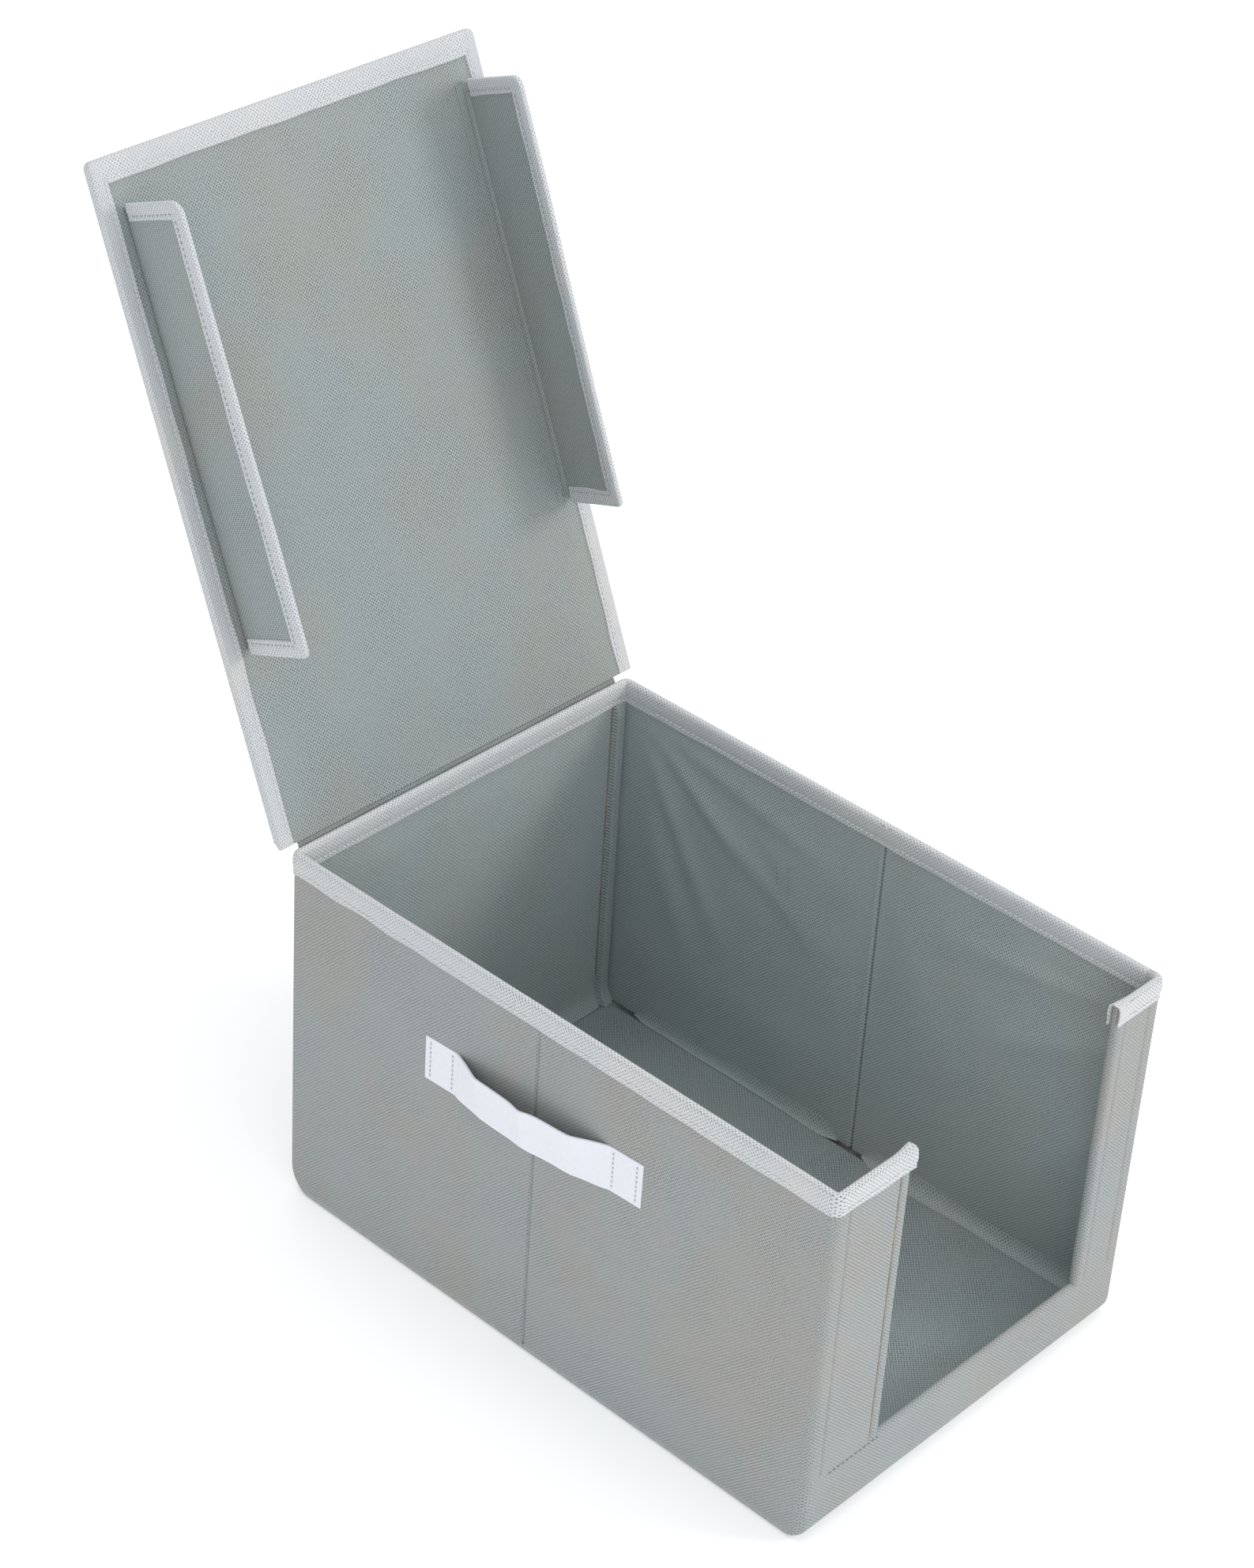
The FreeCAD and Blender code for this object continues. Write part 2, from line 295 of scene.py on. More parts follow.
def sweep(line, profile, swell=None, side=1):
    """Carry a cross-section of offsets and heights along stations: station + offset x normal.

    swell is a field of x, y, z that adds to the offset on the given side.
    """
    x, y, nx, ny = (line[:, k][:, None] for k in range(4))
    offset = profile[:, 0][None, :] + 0 * x
    z = profile[:, 1][None, :] + 0 * x
    if swell is not None:
        offset = offset + side * swell(x + 0 * z, y + 0 * z, z)
    return tuck(np.stack([x + nx * offset, y + ny * offset, z], -1))


def run_uv(line, profile):
    """UV in millimetres: the run along the stations, and the run down the cross-section."""
    return crossed(line[:, 4], length_along(profile))


def place(piece, bodies):
    """Ride on one body given by name; a piece given two bodies is only baked in place, riding on neither."""
    if isinstance(bodies, str):
        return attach(piece, bodies)
    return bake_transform(piece)


# ---------------------------------------------------------------- materials


def node(tree, kind, **values):
    """A node with some of its properties and inputs set; an input's name has _ for a space."""
    made = tree.nodes.new(kind)
    for key, value in values.items():
        if hasattr(made, key):
            setattr(made, key, value)
        else:
            made.inputs[key.replace("_", " ")].default_value = value
    return made


def sums(tree, operation, *inputs, clamp=False):
    """A Math node fed by sockets or plain numbers; returns its output."""
    made = tree.nodes.new("ShaderNodeMath")
    made.operation = operation
    made.use_clamp = clamp
    for socket, value in zip(made.inputs, inputs):
        if isinstance(value, (int, float)):
            socket.default_value = value
        else:
            tree.links.new(value, socket)
    return made.outputs[0]


def blend_colours(tree, factor, first, second):
    """Mix two colours by a factor; each may be a socket or a value."""
    made = tree.nodes.new("ShaderNodeMix")
    made.data_type = "RGBA"
    for socket, value in ((made.inputs[0], factor), (made.inputs[6], first), (made.inputs[7], second)):
        if isinstance(value, (int, float, tuple)):
            socket.default_value = value
        else:
            tree.links.new(value, socket)
    return made.outputs[2]


def ramp(tree, value, start, end, low_value=0.0, high_value=1.0):
    """A Map Range node that turns start..end to low..high, smoothly."""
    made = tree.nodes.new("ShaderNodeMapRange")
    made.interpolation_type = "SMOOTHSTEP"
    tree.links.new(value, made.inputs["Value"])
    numbers = {"From Min": start, "From Max": end, "To Min": low_value, "To Max": high_value}
    for socket, number in numbers.items():
        if isinstance(number, (int, float)):
            made.inputs[socket].default_value = number
        else:
            tree.links.new(number, made.inputs[socket])
    return made.outputs["Result"]


def new_group(name, inputs, outputs):
    """An empty shader node group with named sockets; returns the tree and its input and output nodes."""
    tree = bpy.data.node_groups.new(name, "ShaderNodeTree")
    for label, kind, value in inputs:
        socket = tree.interface.new_socket(name=label, in_out="INPUT", socket_type=kind)
        if value is not None:
            socket.default_value = value
    for label, kind in outputs:
        tree.interface.new_socket(name=label, in_out="OUTPUT", socket_type=kind)
    return tree, tree.nodes.new("NodeGroupInput"), tree.nodes.new("NodeGroupOutput")


def pinhole_group():
    """Spunbond cloth: rows of bonded pinholes on a slanting grid, broken up by fibres and a soft mottle."""
    tree, given, out = new_group(
        "Bonded cloth",
        [
            ("Place", "NodeSocketVector", None),
            ("Body place", "NodeSocketVector", None),
            ("Cloth", "NodeSocketColor", (0.3, 0.3, 0.3, 1)),
            ("Drift", "NodeSocketColor", (0.3, 0.3, 0.3, 1)),
            ("Pinhole", "NodeSocketColor", (0.1, 0.1, 0.1, 1)),
            ("Pitch", "NodeSocketFloat", 1.0),
            ("Hole", "NodeSocketFloat", 0.25),
            ("Strength", "NodeSocketFloat", 0.5),
            ("Mottle", "NodeSocketFloat", 0.1),
        ],
        [("Color", "NodeSocketColor"), ("Height", "NodeSocketFloat"), ("Roughness", "NodeSocketFloat")],
    )
    link = tree.links.new
    scale = node(tree, "ShaderNodeVectorMath", operation="SCALE")
    link(given.outputs["Place"], scale.inputs[0])
    link(sums(tree, "DIVIDE", 1000.0, given.outputs["Pitch"]), scale.inputs["Scale"])
    slant = node(tree, "ShaderNodeMapping")
    slant.inputs["Rotation"].default_value = (0, 0, np.radians(45))
    link(scale.outputs[0], slant.inputs["Vector"])
    cells = node(tree, "ShaderNodeTexVoronoi", voronoi_dimensions="2D", feature="F1")
    cells.inputs["Scale"].default_value = 1.0
    cells.inputs["Randomness"].default_value = 0.16
    link(slant.outputs[0], cells.inputs["Vector"])
    broad = node(tree, "ShaderNodeTexNoise", Scale=28.0, Detail=3.0, Roughness=0.55)
    link(given.outputs["Body place"], broad.inputs["Vector"])
    fibre = node(tree, "ShaderNodeTexNoise", Scale=900.0, Detail=2.0, Roughness=0.6)
    link(given.outputs["Body place"], fibre.inputs["Vector"])
    uneven = ramp(tree, fibre.outputs[0], 0.25, 0.75, 0.75, 1.25)
    size = sums(tree, "MULTIPLY", given.outputs["Hole"], uneven)
    hole = ramp(tree, cells.outputs["Distance"], sums(tree, "MULTIPLY", size, 0.45), size, 1.0, 0.0)
    patch = ramp(tree, broad.outputs[0], 0.3, 0.7, 0.55, 1.0)
    dark = sums(tree, "MULTIPLY", hole, given.outputs["Strength"])
    mark = sums(tree, "MULTIPLY", dark, patch, clamp=True)
    shade = ramp(tree, broad.outputs[0], 0.25, 0.75, -1.0, 1.0)
    grain = ramp(tree, fibre.outputs[0], 0.2, 0.8, -0.5, 0.5)
    level = sums(tree, "MULTIPLY_ADD", sums(tree, "ADD", shade, grain), given.outputs["Mottle"], 1.0)
    slow = node(tree, "ShaderNodeTexNoise", Scale=11.0, Detail=3.0, Roughness=0.6)
    link(given.outputs["Body place"], slow.inputs["Vector"])
    share = ramp(tree, slow.outputs[0], 0.4, 0.66)
    drifted = blend_colours(tree, share, given.outputs["Cloth"], given.outputs["Drift"])
    tone = node(tree, "ShaderNodeVectorMath", operation="SCALE")
    link(drifted, tone.inputs[0])
    link(level, tone.inputs["Scale"])
    link(blend_colours(tree, mark, tone.outputs[0], given.outputs["Pinhole"]), out.inputs["Color"])
    link(sums(tree, "SUBTRACT", sums(tree, "MULTIPLY", fibre.outputs[0], 0.4), hole), out.inputs["Height"])
    link(sums(tree, "MULTIPLY_ADD", fibre.outputs[0], 0.2, 0.68), out.inputs["Roughness"])
    return tree


def thread_group():
    """Fine parallel yarns: a wave across the width of the strap, crossed by a weaker one along it, with
    painted shade in the grooves between the yarns.
    """
    tree, given, out = new_group(
        "Fine yarns",
        [
            ("Place", "NodeSocketVector", None),
            ("Yarn", "NodeSocketColor", (0.8, 0.8, 0.8, 1)),
            ("Groove shade", "NodeSocketColor", (0.5, 0.5, 0.5, 1)),
            ("Pitch", "NodeSocketFloat", 0.6),
            ("Strength", "NodeSocketFloat", 0.3),
        ],
        [("Color", "NodeSocketColor"), ("Height", "NodeSocketFloat")],
    )
    link = tree.links.new
    parts = node(tree, "ShaderNodeSeparateXYZ")
    link(given.outputs["Place"], parts.inputs[0])
    turns = sums(tree, "DIVIDE", 6283.2, given.outputs["Pitch"])
    along = sums(tree, "SINE", sums(tree, "MULTIPLY", parts.outputs[0], turns))
    across = sums(tree, "SINE", sums(tree, "MULTIPLY", parts.outputs[1], turns))
    weave = sums(tree, "MULTIPLY_ADD", sums(tree, "MULTIPLY", along, across), 0.5, 0.5)
    uneven = node(tree, "ShaderNodeTexNoise", Scale=260.0, Detail=3.0)
    link(given.outputs["Place"], uneven.inputs["Vector"])
    dark = sums(tree, "MULTIPLY", weave, given.outputs["Strength"])
    mark = sums(tree, "MULTIPLY", dark, uneven.outputs[0])
    # Painted shade: the grooves between the yarns are mixed towards the darker groove colour.
    link(blend_colours(tree, mark, given.outputs["Yarn"], given.outputs["Groove shade"]), out.inputs["Color"])
    link(sums(tree, "SUBTRACT", uneven.outputs[0], weave), out.inputs["Height"])
    return tree


BONDED = pinhole_group()
YARNS = thread_group()


def grey(*levels):
    """A colour given by its sRGB levels from 0 to 255, as linear light."""
    c = np.array(levels) / 255
    lin = np.where(c <= 0.04045, c / 12.92, ((c + 0.055) / 1.055) ** 2.4)
    return (*[float(v) for v in lin], 1.0)


def new_material(name, roughness, sheen=0.0):
    """A material with its Principled shader, the cloth's own map and the object's coordinates."""
    made = bpy.data.materials.new(name)
    made.use_nodes = True
    tree = made.node_tree
    shader = tree.nodes["Principled BSDF"]
    shader.inputs["Roughness"].default_value = roughness
    shader.inputs["Specular IOR Level"].default_value = 0.25
    shader.inputs["Sheen Weight"].default_value = sheen
    cloth_map = node(tree, "ShaderNodeUVMap")
    cloth_map.uv_map = "Cloth"
    return made, tree, shader, cloth_map.outputs[0], node(tree, "ShaderNodeTexCoord").outputs["Object"]


def raise_surface(tree, shader, height, distance, strength):
    """Feed a height through a Bump node to the shader's normal."""
    bump = node(tree, "ShaderNodeBump")
    bump.inputs["Strength"].default_value = strength
    bump.inputs["Distance"].default_value = distance
    tree.links.new(height, bump.inputs["Height"])
    tree.links.new(bump.outputs[0], shader.inputs["Normal"])


def bonded_material(name, cloth, drift, pinhole, pitch, hole, strength, mottle, bump=0.00015, sheen=0.06):
    """A cloth with bonded pinholes."""
    made, tree, shader, cloth_map, body = new_material(name, 0.8, sheen)
    group = node(tree, "ShaderNodeGroup", node_tree=BONDED)
    tree.links.new(cloth_map, group.inputs["Place"])
    tree.links.new(body, group.inputs["Body place"])
    labels = ("Cloth", "Drift", "Pinhole", "Pitch", "Hole", "Strength", "Mottle")
    for label, value in zip(labels, (cloth, drift, pinhole, pitch, hole, strength, mottle)):
        group.inputs[label].default_value = value
    tree.links.new(group.outputs["Color"], shader.inputs["Base Color"])
    tree.links.new(group.outputs["Roughness"], shader.inputs["Roughness"])
    raise_surface(tree, shader, group.outputs["Height"], bump, 0.7)
    return made


def yarn_material(name, yarn, groove, pitch, strength):
    """A woven strap or a thread, with painted shade in the grooves of its weave."""
    made, tree, shader, cloth_map, _ = new_material(name, 0.7, 0.1)
    group = node(tree, "ShaderNodeGroup", node_tree=YARNS)
    tree.links.new(cloth_map, group.inputs["Place"])
    for label, value in (("Yarn", yarn), ("Groove shade", groove), ("Pitch", pitch), ("Strength", strength)):
        group.inputs[label].default_value = value
    tree.links.new(group.outputs["Color"], shader.inputs["Base Color"])
    raise_surface(tree, shader, group.outputs["Height"], 0.0001, 0.5)
    return made


def card_material():
    """Grey board: pressed fibres of two sizes, on the object's own coordinates."""
    made, tree, shader, _, body = new_material("Stiffening card", 0.9)
    flecks = node(tree, "ShaderNodeTexNoise", Scale=420.0, Detail=4.0)
    clouds = node(tree, "ShaderNodeTexNoise", Scale=35.0, Detail=2.0)
    tree.links.new(body, flecks.inputs["Vector"])
    tree.links.new(body, clouds.inputs["Vector"])
    both = sums(tree, "MULTIPLY", flecks.outputs[0], clouds.outputs[0])
    tree.links.new(
        blend_colours(tree, ramp(tree, both, 0.1, 0.45), grey(126, 118, 104), grey(168, 160, 146)),
        shader.inputs["Base Color"],
    )
    raise_surface(tree, shader, flecks.outputs[0], 0.0002, 0.4)
    return made


OUTER = bonded_material(
    "Outer cloth", grey(164, 169, 169), grey(168, 167, 163), grey(84, 94, 99), 1.6, 0.4, 0.78, 0.03
)
# The wall lining is the same cloth as the lid lining, its colours painted lighter to stand in for light
# inside the bin.
LINING_PAINTED_LIGHTER = bonded_material(
    "Lining cloth painted lighter", grey(172, 182, 183), grey(174, 180, 178), grey(80, 93, 98), 1.6, 0.4, 0.82, 0.035
)
# The lid lining: the same cloth without that painted light.
LID_CLOTH = bonded_material(
    "Lid lining cloth", grey(160, 168, 168), grey(163, 166, 162), grey(76, 88, 93), 1.6, 0.4, 0.82, 0.035
)
TAPE_CLOTH = bonded_material(
    "Edge tape", grey(208, 211, 214), grey(213, 213, 213), grey(112, 121, 129), 1.7, 0.36, 0.85, 0.035
)
# The base insert's cloth: the lining cloth painted darker as painted shade for the floor inside the bin, with
# its pinholes drawn stronger.
BASE_CLOTH_PAINTED_SHADE = bonded_material(
    "Base cloth painted darker", grey(158, 168, 169), grey(160, 166, 165), grey(70, 82, 87), 1.6, 0.43, 0.88, 0.035
)
# The second colour of each is painted shade for the grooves between the yarns.
WEBBING = yarn_material("White webbing", grey(238, 240, 246), grey(196, 200, 210), 0.7, 0.5)
WHITE_THREAD = yarn_material("White thread", grey(242, 243, 246), grey(200, 203, 208), 0.3, 0.5)
PALE_THREAD = yarn_material("Pale thread", grey(178, 182, 190), grey(130, 134, 142), 0.3, 0.6)
GREY_THREAD = yarn_material("Grey thread", grey(150, 155, 155), grey(96, 102, 103), 0.3, 0.6)
CARD = card_material()

for name, cad in frame["nodes"].items():
    cad.data.materials.clear()
    cad.data.materials.append(TAPE_CLOTH if "binding" in name else CARD)


# ---------------------------------------------------------------- stitches


def stitches(name, at, along, out, body, colour, length=2.5, thick=0.7, lift=0.0):
    """A row of short threads: each is a low arch of five diamond cross-sections, all in one mesh."""
    count = len(at)
    out = np.tile(np.array(out, float), (count, 1))
    t = np.linspace(-1, 1, 5)
    across = np.cross(along, out)
    arch = thick * (0.55 - 0.75 * t**4) + lift
    width = thick * (1 - 0.45 * t**2)
    middle = at[:, None, :] + along[:, None, :] * (t * length / 2)[None, :, None]
    middle = middle + out[:, None, :] * arch[None, :, None]
    half = 0.5 * width[None, :, None]
    ring = [across[:, None, :] * half, out[:, None, :] * half * 0.8]
    corners = np.stack([middle + ring[0], middle + ring[1], middle - ring[0], middle - ring[1]], 2)
    points = corners.reshape(-1, 3)
    index = np.arange(count * 20).reshape(count, 5, 4)
    a, b = index, np.roll(index, -1, axis=2)
    sides = np.stack([a[:, :-1], b[:, :-1], b[:, 1:], a[:, 1:]], -1).reshape(-1, 4)
    first = index[:, 0, ::-1]
    last = index[:, -1]
    faces = np.concatenate([sides, first, last])
    uv = np.stack([points[:, 0] + points[:, 1], points[:, 2]], -1)
    piece = to_object(name, points, faces, uv, colour)
    piece.data.shade_smooth()
    place(piece, body)


def stitch_line(start, end, pitch=3.5):
    """Evenly spaced places on a straight line, and its direction for each."""
    start, end = np.array(start, float), np.array(end, float)
    length = np.linalg.norm(end - start)
    count = max(2, int(length / pitch))
    t = (np.arange(count) + 0.5) / count
    return start + (end - start) * t[:, None], np.tile((end - start) / length, (count, 1))


def stitch_lines(*lines, pitch=3.5):
    """Places and directions along several straight lines, one after the other."""
    rows = [stitch_line(start, end, pitch) for start, end in lines]
    return [np.concatenate(part) for part in zip(*rows)]


# ---------------------------------------------------------------- skins of the four walls


def vertical(offset):
    """A straight cross-section: one offset at every height from the wall's foot to its rim."""
    z = spaced(WALL_LOW, RIM, 4.5)
    return np.stack([offset + 0 * z, z], -1)


def panel(y, z, first, last):
    """A half sine across a panel, times a rise and fall up the wall that dies out below the binding."""
    across = np.sin(np.pi * np.clip((y - first) / (last - first), 0, 1)) ** 0.7
    return across * rise(z, 6, 60) * (1 - rise(z, 180, 224))


def folds(y, z, table):
    """Several ridges added up, each given as start, end, width and height."""
    return sum(fold(y, z, *row) for row in table)


def outside_swell(crease, halves, wave, slants, ends):
    """A long wall's outside: a swell on each half, gentle waves, slanting pulls and the creased seam."""

    def swell(x, y, z):
        body = sum(height * panel(y, z, first, last) for height, first, last in halves)
        squeeze, size, seed = wave
        waves = 0.3 * (1 + ripple(y, z * squeeze, size, seed)) * (1 - rise(z, 200, 224)) * rise(z, 5, 25)
        held = rise(y, *ends[0]) * (1 - rise(y, *ends[1]))
        lips = 0.3 * hump(y, crease, 4.5) - 1.5 * hump(y, crease, 1.0)
        loose = (waves + folds(y, z, slants)) * (1 - hump(y, crease, 9))
        return (body + loose) * held + lips * (1 - rise(z, 222, 230))

    return swell


left_outer_swell = outside_swell(
    CREASE_LEFT,
    ((0.9, 12, 186), (0.8, -172, 2)),
    (0.7, 90, 5),
    (
        ((-60, 30), (-165, 170), 14, 0.7),
        ((-110, 150), (-172, 60), 9, 0.5),
        ((180, 200), (110, 60), 16, 0.6),
    ),
    ((-192, -176), (180, 193)),
)
right_outer_swell = outside_swell(
    CREASE_RIGHT,
    ((0.8, -2, 172), (0.9, -186, -12)),
    (0.8, 80, 11),
    (((60, 40), (160, 190), 15, 0.6), ((-40, 180), (-150, 60), 16, 0.6)),
    ((-188, -176), (176, 193)),
)
LEFT_PULLS = (((170, 210), (60, 80), 9, 1.2), ((-20, 200), (-150, 120), 9, 1.1))
RIGHT_PULLS = (
    ((178, 220), (66, 146), 5, 2.6),
    ((178, 208), (104, 90), 7, 2.1),
    ((176, 224), (26, 192), 5, 1.9),
    ((110, 186), (34, 128), 5, 1.3),
    ((176, 170), (120, 40), 10, 1.2),
    ((84, 190), (18, 120), 12, 1.2),
    ((-186, 208), (-56, 192), 5, 2.4),
    ((-188, 184), (-84, 134), 7, 1.9),
    ((-180, 214), (-110, 222), 5, 1.2),
    ((-186, 130), (-110, 40), 11, 1.3),
    ((-20, 200), (-70, 90), 13, 1.0),
)
MOST_SLACK = 4.2


def left_inner_swell(x, y, z):
    """Left wall inside: slack lining with a few soft pulls, tight at the seams and behind the flap."""
    body = 1.0 * panel(y, z, 12, 186) + 1.0 * panel(y, z, -172, 2)
    ends = rise(y, -190, -176) * (1 - rise(y, 180, 190))
    lips = 0.3 * hump(y, CREASE_LEFT, 4.0) - 1.3 * hump(y, CREASE_LEFT, 1.0)
    shape = body + folds(y, z, LEFT_PULLS) + 0.3 * (1 + ripple(y, z, 60, 21))
    held = shape * ends * (1 - hump(y, CREASE_LEFT, 7)) * (1 - 0.9 * rise(z, 156, 184))
    return held * (1 - rise(z, 212, 227)) + lips


def right_inner_swell(x, y, z):
    """Right wall inside: slack lining in slanting folds from the rear top corner and the front post."""
    body = 1.2 * panel(y, z, -2, 172) + 1.1 * panel(y, z, -186, -12)
    ends = rise(y, -189, -178) * (1 - rise(y, 172, 186))
    lips = 0.7 * hump(y, CREASE_RIGHT, 3.6) - 2.4 * hump(y, CREASE_RIGHT, 1.1)
    shape = body + folds(y, z, RIGHT_PULLS) + 0.35 * (1 + ripple(y, z, 55, 31))
    held = ends * (1 - hump(y, CREASE_RIGHT, 7)) * (1 - rise(z, 214, 227))
    return np.minimum(shape, MOST_SLACK) * held + lips


def end_outer_swell(x, y, z):
    """End walls outside: one broad swell and gentle waves, tight at the corners."""
    held = rise(x, -133, -118) * (1 - rise(x, 118, 133)) * (1 - rise(z, 190, 222)) * rise(z, 20, 60)
    return held * (0.7 * np.cos(np.pi * x / 270) + 0.3 * (1 + ripple(x, z, 90, 41)))


def end_inner_swell(x, y, z):
    """Back wall inside: slack lining, with the turned seam allowance standing up by the right corner."""
    held = rise(x, -128, -112) * (1 - rise(x, 108, 120)) * (1 - rise(z, 205, 227))
    slack = held * (1.0 * np.cos(np.pi * x / 270) + 0.35 * (1 + ripple(x, z, 70, 51)))
    slack += held * fold(x, z, (-120, 190), (60, 60), 22, 0.8)
    allowance = 3.4 * rise(x, 121.4, 122.0) * (1 - 0.3 * rise(x, 123, 128.2))
    wander = 1 + 0.12 * ripple(z, 0 * z, 60, 52)
    allowance = allowance * (1 - rise(x, 128.6, 129.3)) * wander - 2.4 * hump(x, 120.6, 0.8)
    return slack + allowance * (1 - rise(z, 224, 228))


LEFT_SPANS = [
    ("left_rear_corner", 195, 186, ("back", "left_rear_wall"), 193.5, 188.5),
    ("left_rear", 186, 14, "left_rear_wall", 0, 0),
    ("left_seam_rear", 14, 7, ("left_rear_wall", "left_seam"), 12.5, 8.5),
    ("left_seam_front", 7, 0, ("left_seam", "left_front_wall"), 5.5, 1.5),
    ("left_front", 0, -172, "left_front_wall", 0, 0),
    ("left_front_corner", -172, -195, ("left_front_wall", "front"), -174.5, -179.5),
]
RIGHT_SPANS = [
    ("right_rear_corner", 195, 172, ("back", "right_rear_wall"), 179.5, 174.5),
    ("right_rear", 172, 0, "right_rear_wall", 0, 0),
    ("right_seam_rear", 0, -7, ("right_rear_wall", "right_seam"), -1.5, -5.5),
    ("right_seam_front", -7, -14, ("right_seam", "right_front_wall"), -8.5, -12.5),
    ("right_front", -14, -190.9, "right_front_wall", 0, 0),
]
REPLACED = {
    "left_rear": ["left_rear_outer", "left_rear_lining"],
    "left_front": ["left_front_outer", "left_front_lining"],
    "right_rear": ["right_rear_outer", "right_rear_lining"],
    "right_front": ["right_front_outer", "right_front_lining"],
    "left_seam_rear": ["centre_seam_left"],
    "right_seam_rear": ["centre_seam_right"],
    "left_rear_corner": ["corner_seam_back_left"],
    "right_rear_corner": ["corner_seam_back_right"],
    "left_front_corner": ["corner_seam_front_left"],
}


def tape_profile(half, low_in, low_out, top, thick, deep=0.0):
    """The folded edge tape's two sides: up the outside, over the rim on an arc, and down the inside.

    Each ply swells a little between its stitches and the fold.
    """
    z_out = np.linspace(low_out, top, 9)
    z_in = np.linspace(top, low_in, 9)
    arc = turn((0, top), half + thick, 0, 180, 11)[1:-1]
    arc_in = turn((0, top), half + 0.02, 0, 180, 11)[1:-1]
    puff_out = 0.32 * np.sin(np.pi * np.clip((z_out - low_out - 3) / (top - low_out - 3), 0, 1)) + deep
    puff_in = 0.32 * np.sin(np.pi * np.clip((z_in - low_in - 3) / (top - low_in - 3), 0, 1)) + deep
    dip_out = 0.34 * hump(z_out, low_out + 3, 1.0)
    dip_in = 0.34 * hump(z_in, low_in + 3, 1.0)
    face = [
        np.stack([half + thick + puff_out - dip_out, z_out], -1),
        arc,
        np.stack([-(half + thick + puff_in - dip_in), z_in], -1),
    ]
    back = [
        np.stack([half + 0.02 + puff_out * 0.6, z_out], -1),
        arc_in,
        np.stack([-(half + 0.02 + puff_in * 0.6), z_in], -1),
    ]
    return np.concatenate(face), np.concatenate(back)


TAPE_OUT_LOW = TAPE_LOW + 0.4
WALL_TAPE = tape_profile(HALF_WALL, TAPE_LOW, TAPE_OUT_LOW, RIM - HALF_WALL, TAPE)


def tape_wave(line, profile, seed):
    """Uneven edges of a tape: small lifts of its two lower edges that change slowly along the wall."""
    run = line[:, 4][:, None]
    z = profile[:, 1][None, :]
    edge = 1 - rise(z, TAPE_OUT_LOW, RIM - 4)
    return edge * 0.45 * ripple(run, np.sign(profile[:, 0])[None, :] * 40, 34, seed)


def rim_tape(name, line, bodies, hides=(), seed=3, lift=None):
    """A length of the folded rim binding over the wall's edge; returns the piece."""
    face_profile, back_profile = WALL_TAPE
    face = sweep(line, face_profile)
    back = sweep(line, back_profile)
    wave = tape_wave(line, face_profile, seed)
    for side in (face, back):
        side[..., 2] += wave
        if lift is not None:
            lift(side)
    piece = shell(name, face, back, run_uv(line, face_profile), TAPE_CLOTH, "edge_binding")
    place(piece, bodies)
    if hides:
        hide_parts(*hides)
    return piece


def long_wall(side, spans, outer_swell, inner_swell, crease):
    """Both skins and the rim binding of a long wall, in spans that each ride on one body, or are baked in
    place where two bodies meet.
    """
    made = {}
    for name, start, end, bodies, bend_from, bend_to in spans:
        places = spaced(start, end, 4.0, (crease,), 5.0, 0.5)
        line = side_line(side, places)
        outer = [vertical(HALF_WALL), vertical(HALF_WALL - PLY)]
        inner = [vertical(-HALF_WALL), vertical(PLY - HALF_WALL)]
        skins = []
        for label, pair, swell, sign, paint, slot in (
            ("outer", outer, outer_swell, 1, OUTER, "outer_fabric"),
            ("lining", inner, inner_swell, -1, LINING_PAINTED_LIGHTER, "lining_fabric"),
        ):
            face, back = (sweep(line, profile, swell, sign) for profile in pair)
            skin = shell(f"{name}_{label}_cloth", face, back, run_uv(line, pair[0]), paint, slot)
            place(skin, bodies)
            if label == "lining" and bodies in FOLDS:
                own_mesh(skin)
            skins.append(skin)
        hidden = REPLACED.get(name, [])
        if len(hidden) == 2:
            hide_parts(hidden[0])
            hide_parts(hidden[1])
        elif hidden:
            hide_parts(hidden[0])
        wall = name if name in ("left_rear", "left_front", "right_rear", "right_front") else ""
        tape = rim_tape(f"{name}_rim_tape", line, bodies, [f"rim_binding_{wall}"] if wall else ())
        made[name] = (*skins, tape, abs(end - start))
    return made


left_wall = long_wall(-1, LEFT_SPANS, left_outer_swell, left_inner_swell, CREASE_LEFT)
right_wall = long_wall(1, RIGHT_SPANS, right_outer_swell, right_inner_swell, CREASE_RIGHT)

NEAR = {
    "left_rear": ("left_rear_corner", "left_seam_rear"),
    "left_front": ("left_seam_front", "left_front_corner"),
    "right_rear": ("right_rear_corner", "right_seam_rear"),
    "right_front": ("right_seam_front",),
}
for walls, names in ((left_wall, ("left_rear", "left_front")), (right_wall, ("right_rear", "right_front"))):
    for name in names:
        *pieces, length = walls[name]
        for kind, piece in enumerate(pieces):
            beside = [walls[other][kind] for other in NEAR[name]]


def lay(axes, a, b, c):
    """Points of a panel's own grid put in the frame: origin + a x first + b x second + c x third axis."""
    origin, first, second, third = axes
    return origin + a[..., None] * first + b[..., None] * second + c[..., None] * third


def card(name, axes, first, second, thick, body, hides):
    """A stiffening board cut a little inside its cloth, with its edges worn round on a quarter ellipse."""
    a, b = (spaced(*span, 12.0, span, 1.8, 0.4) for span in (first, second))
    ga, gb, edge = panel_grid(a, b)
    half = thick / 2 * np.sqrt(np.clip(1 - (1 - np.clip(edge / 1.2, 0, 1)) ** 2, 0, 1)) * 0.96
    uv = np.stack([ga, gb], -1)
    face, back = lay(axes, ga, gb, half), lay(axes, ga, gb, -half)
    piece = shell(name, face, back, uv, CARD, "stiffener_board", welded=True)
    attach(piece, body)
    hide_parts(hides)


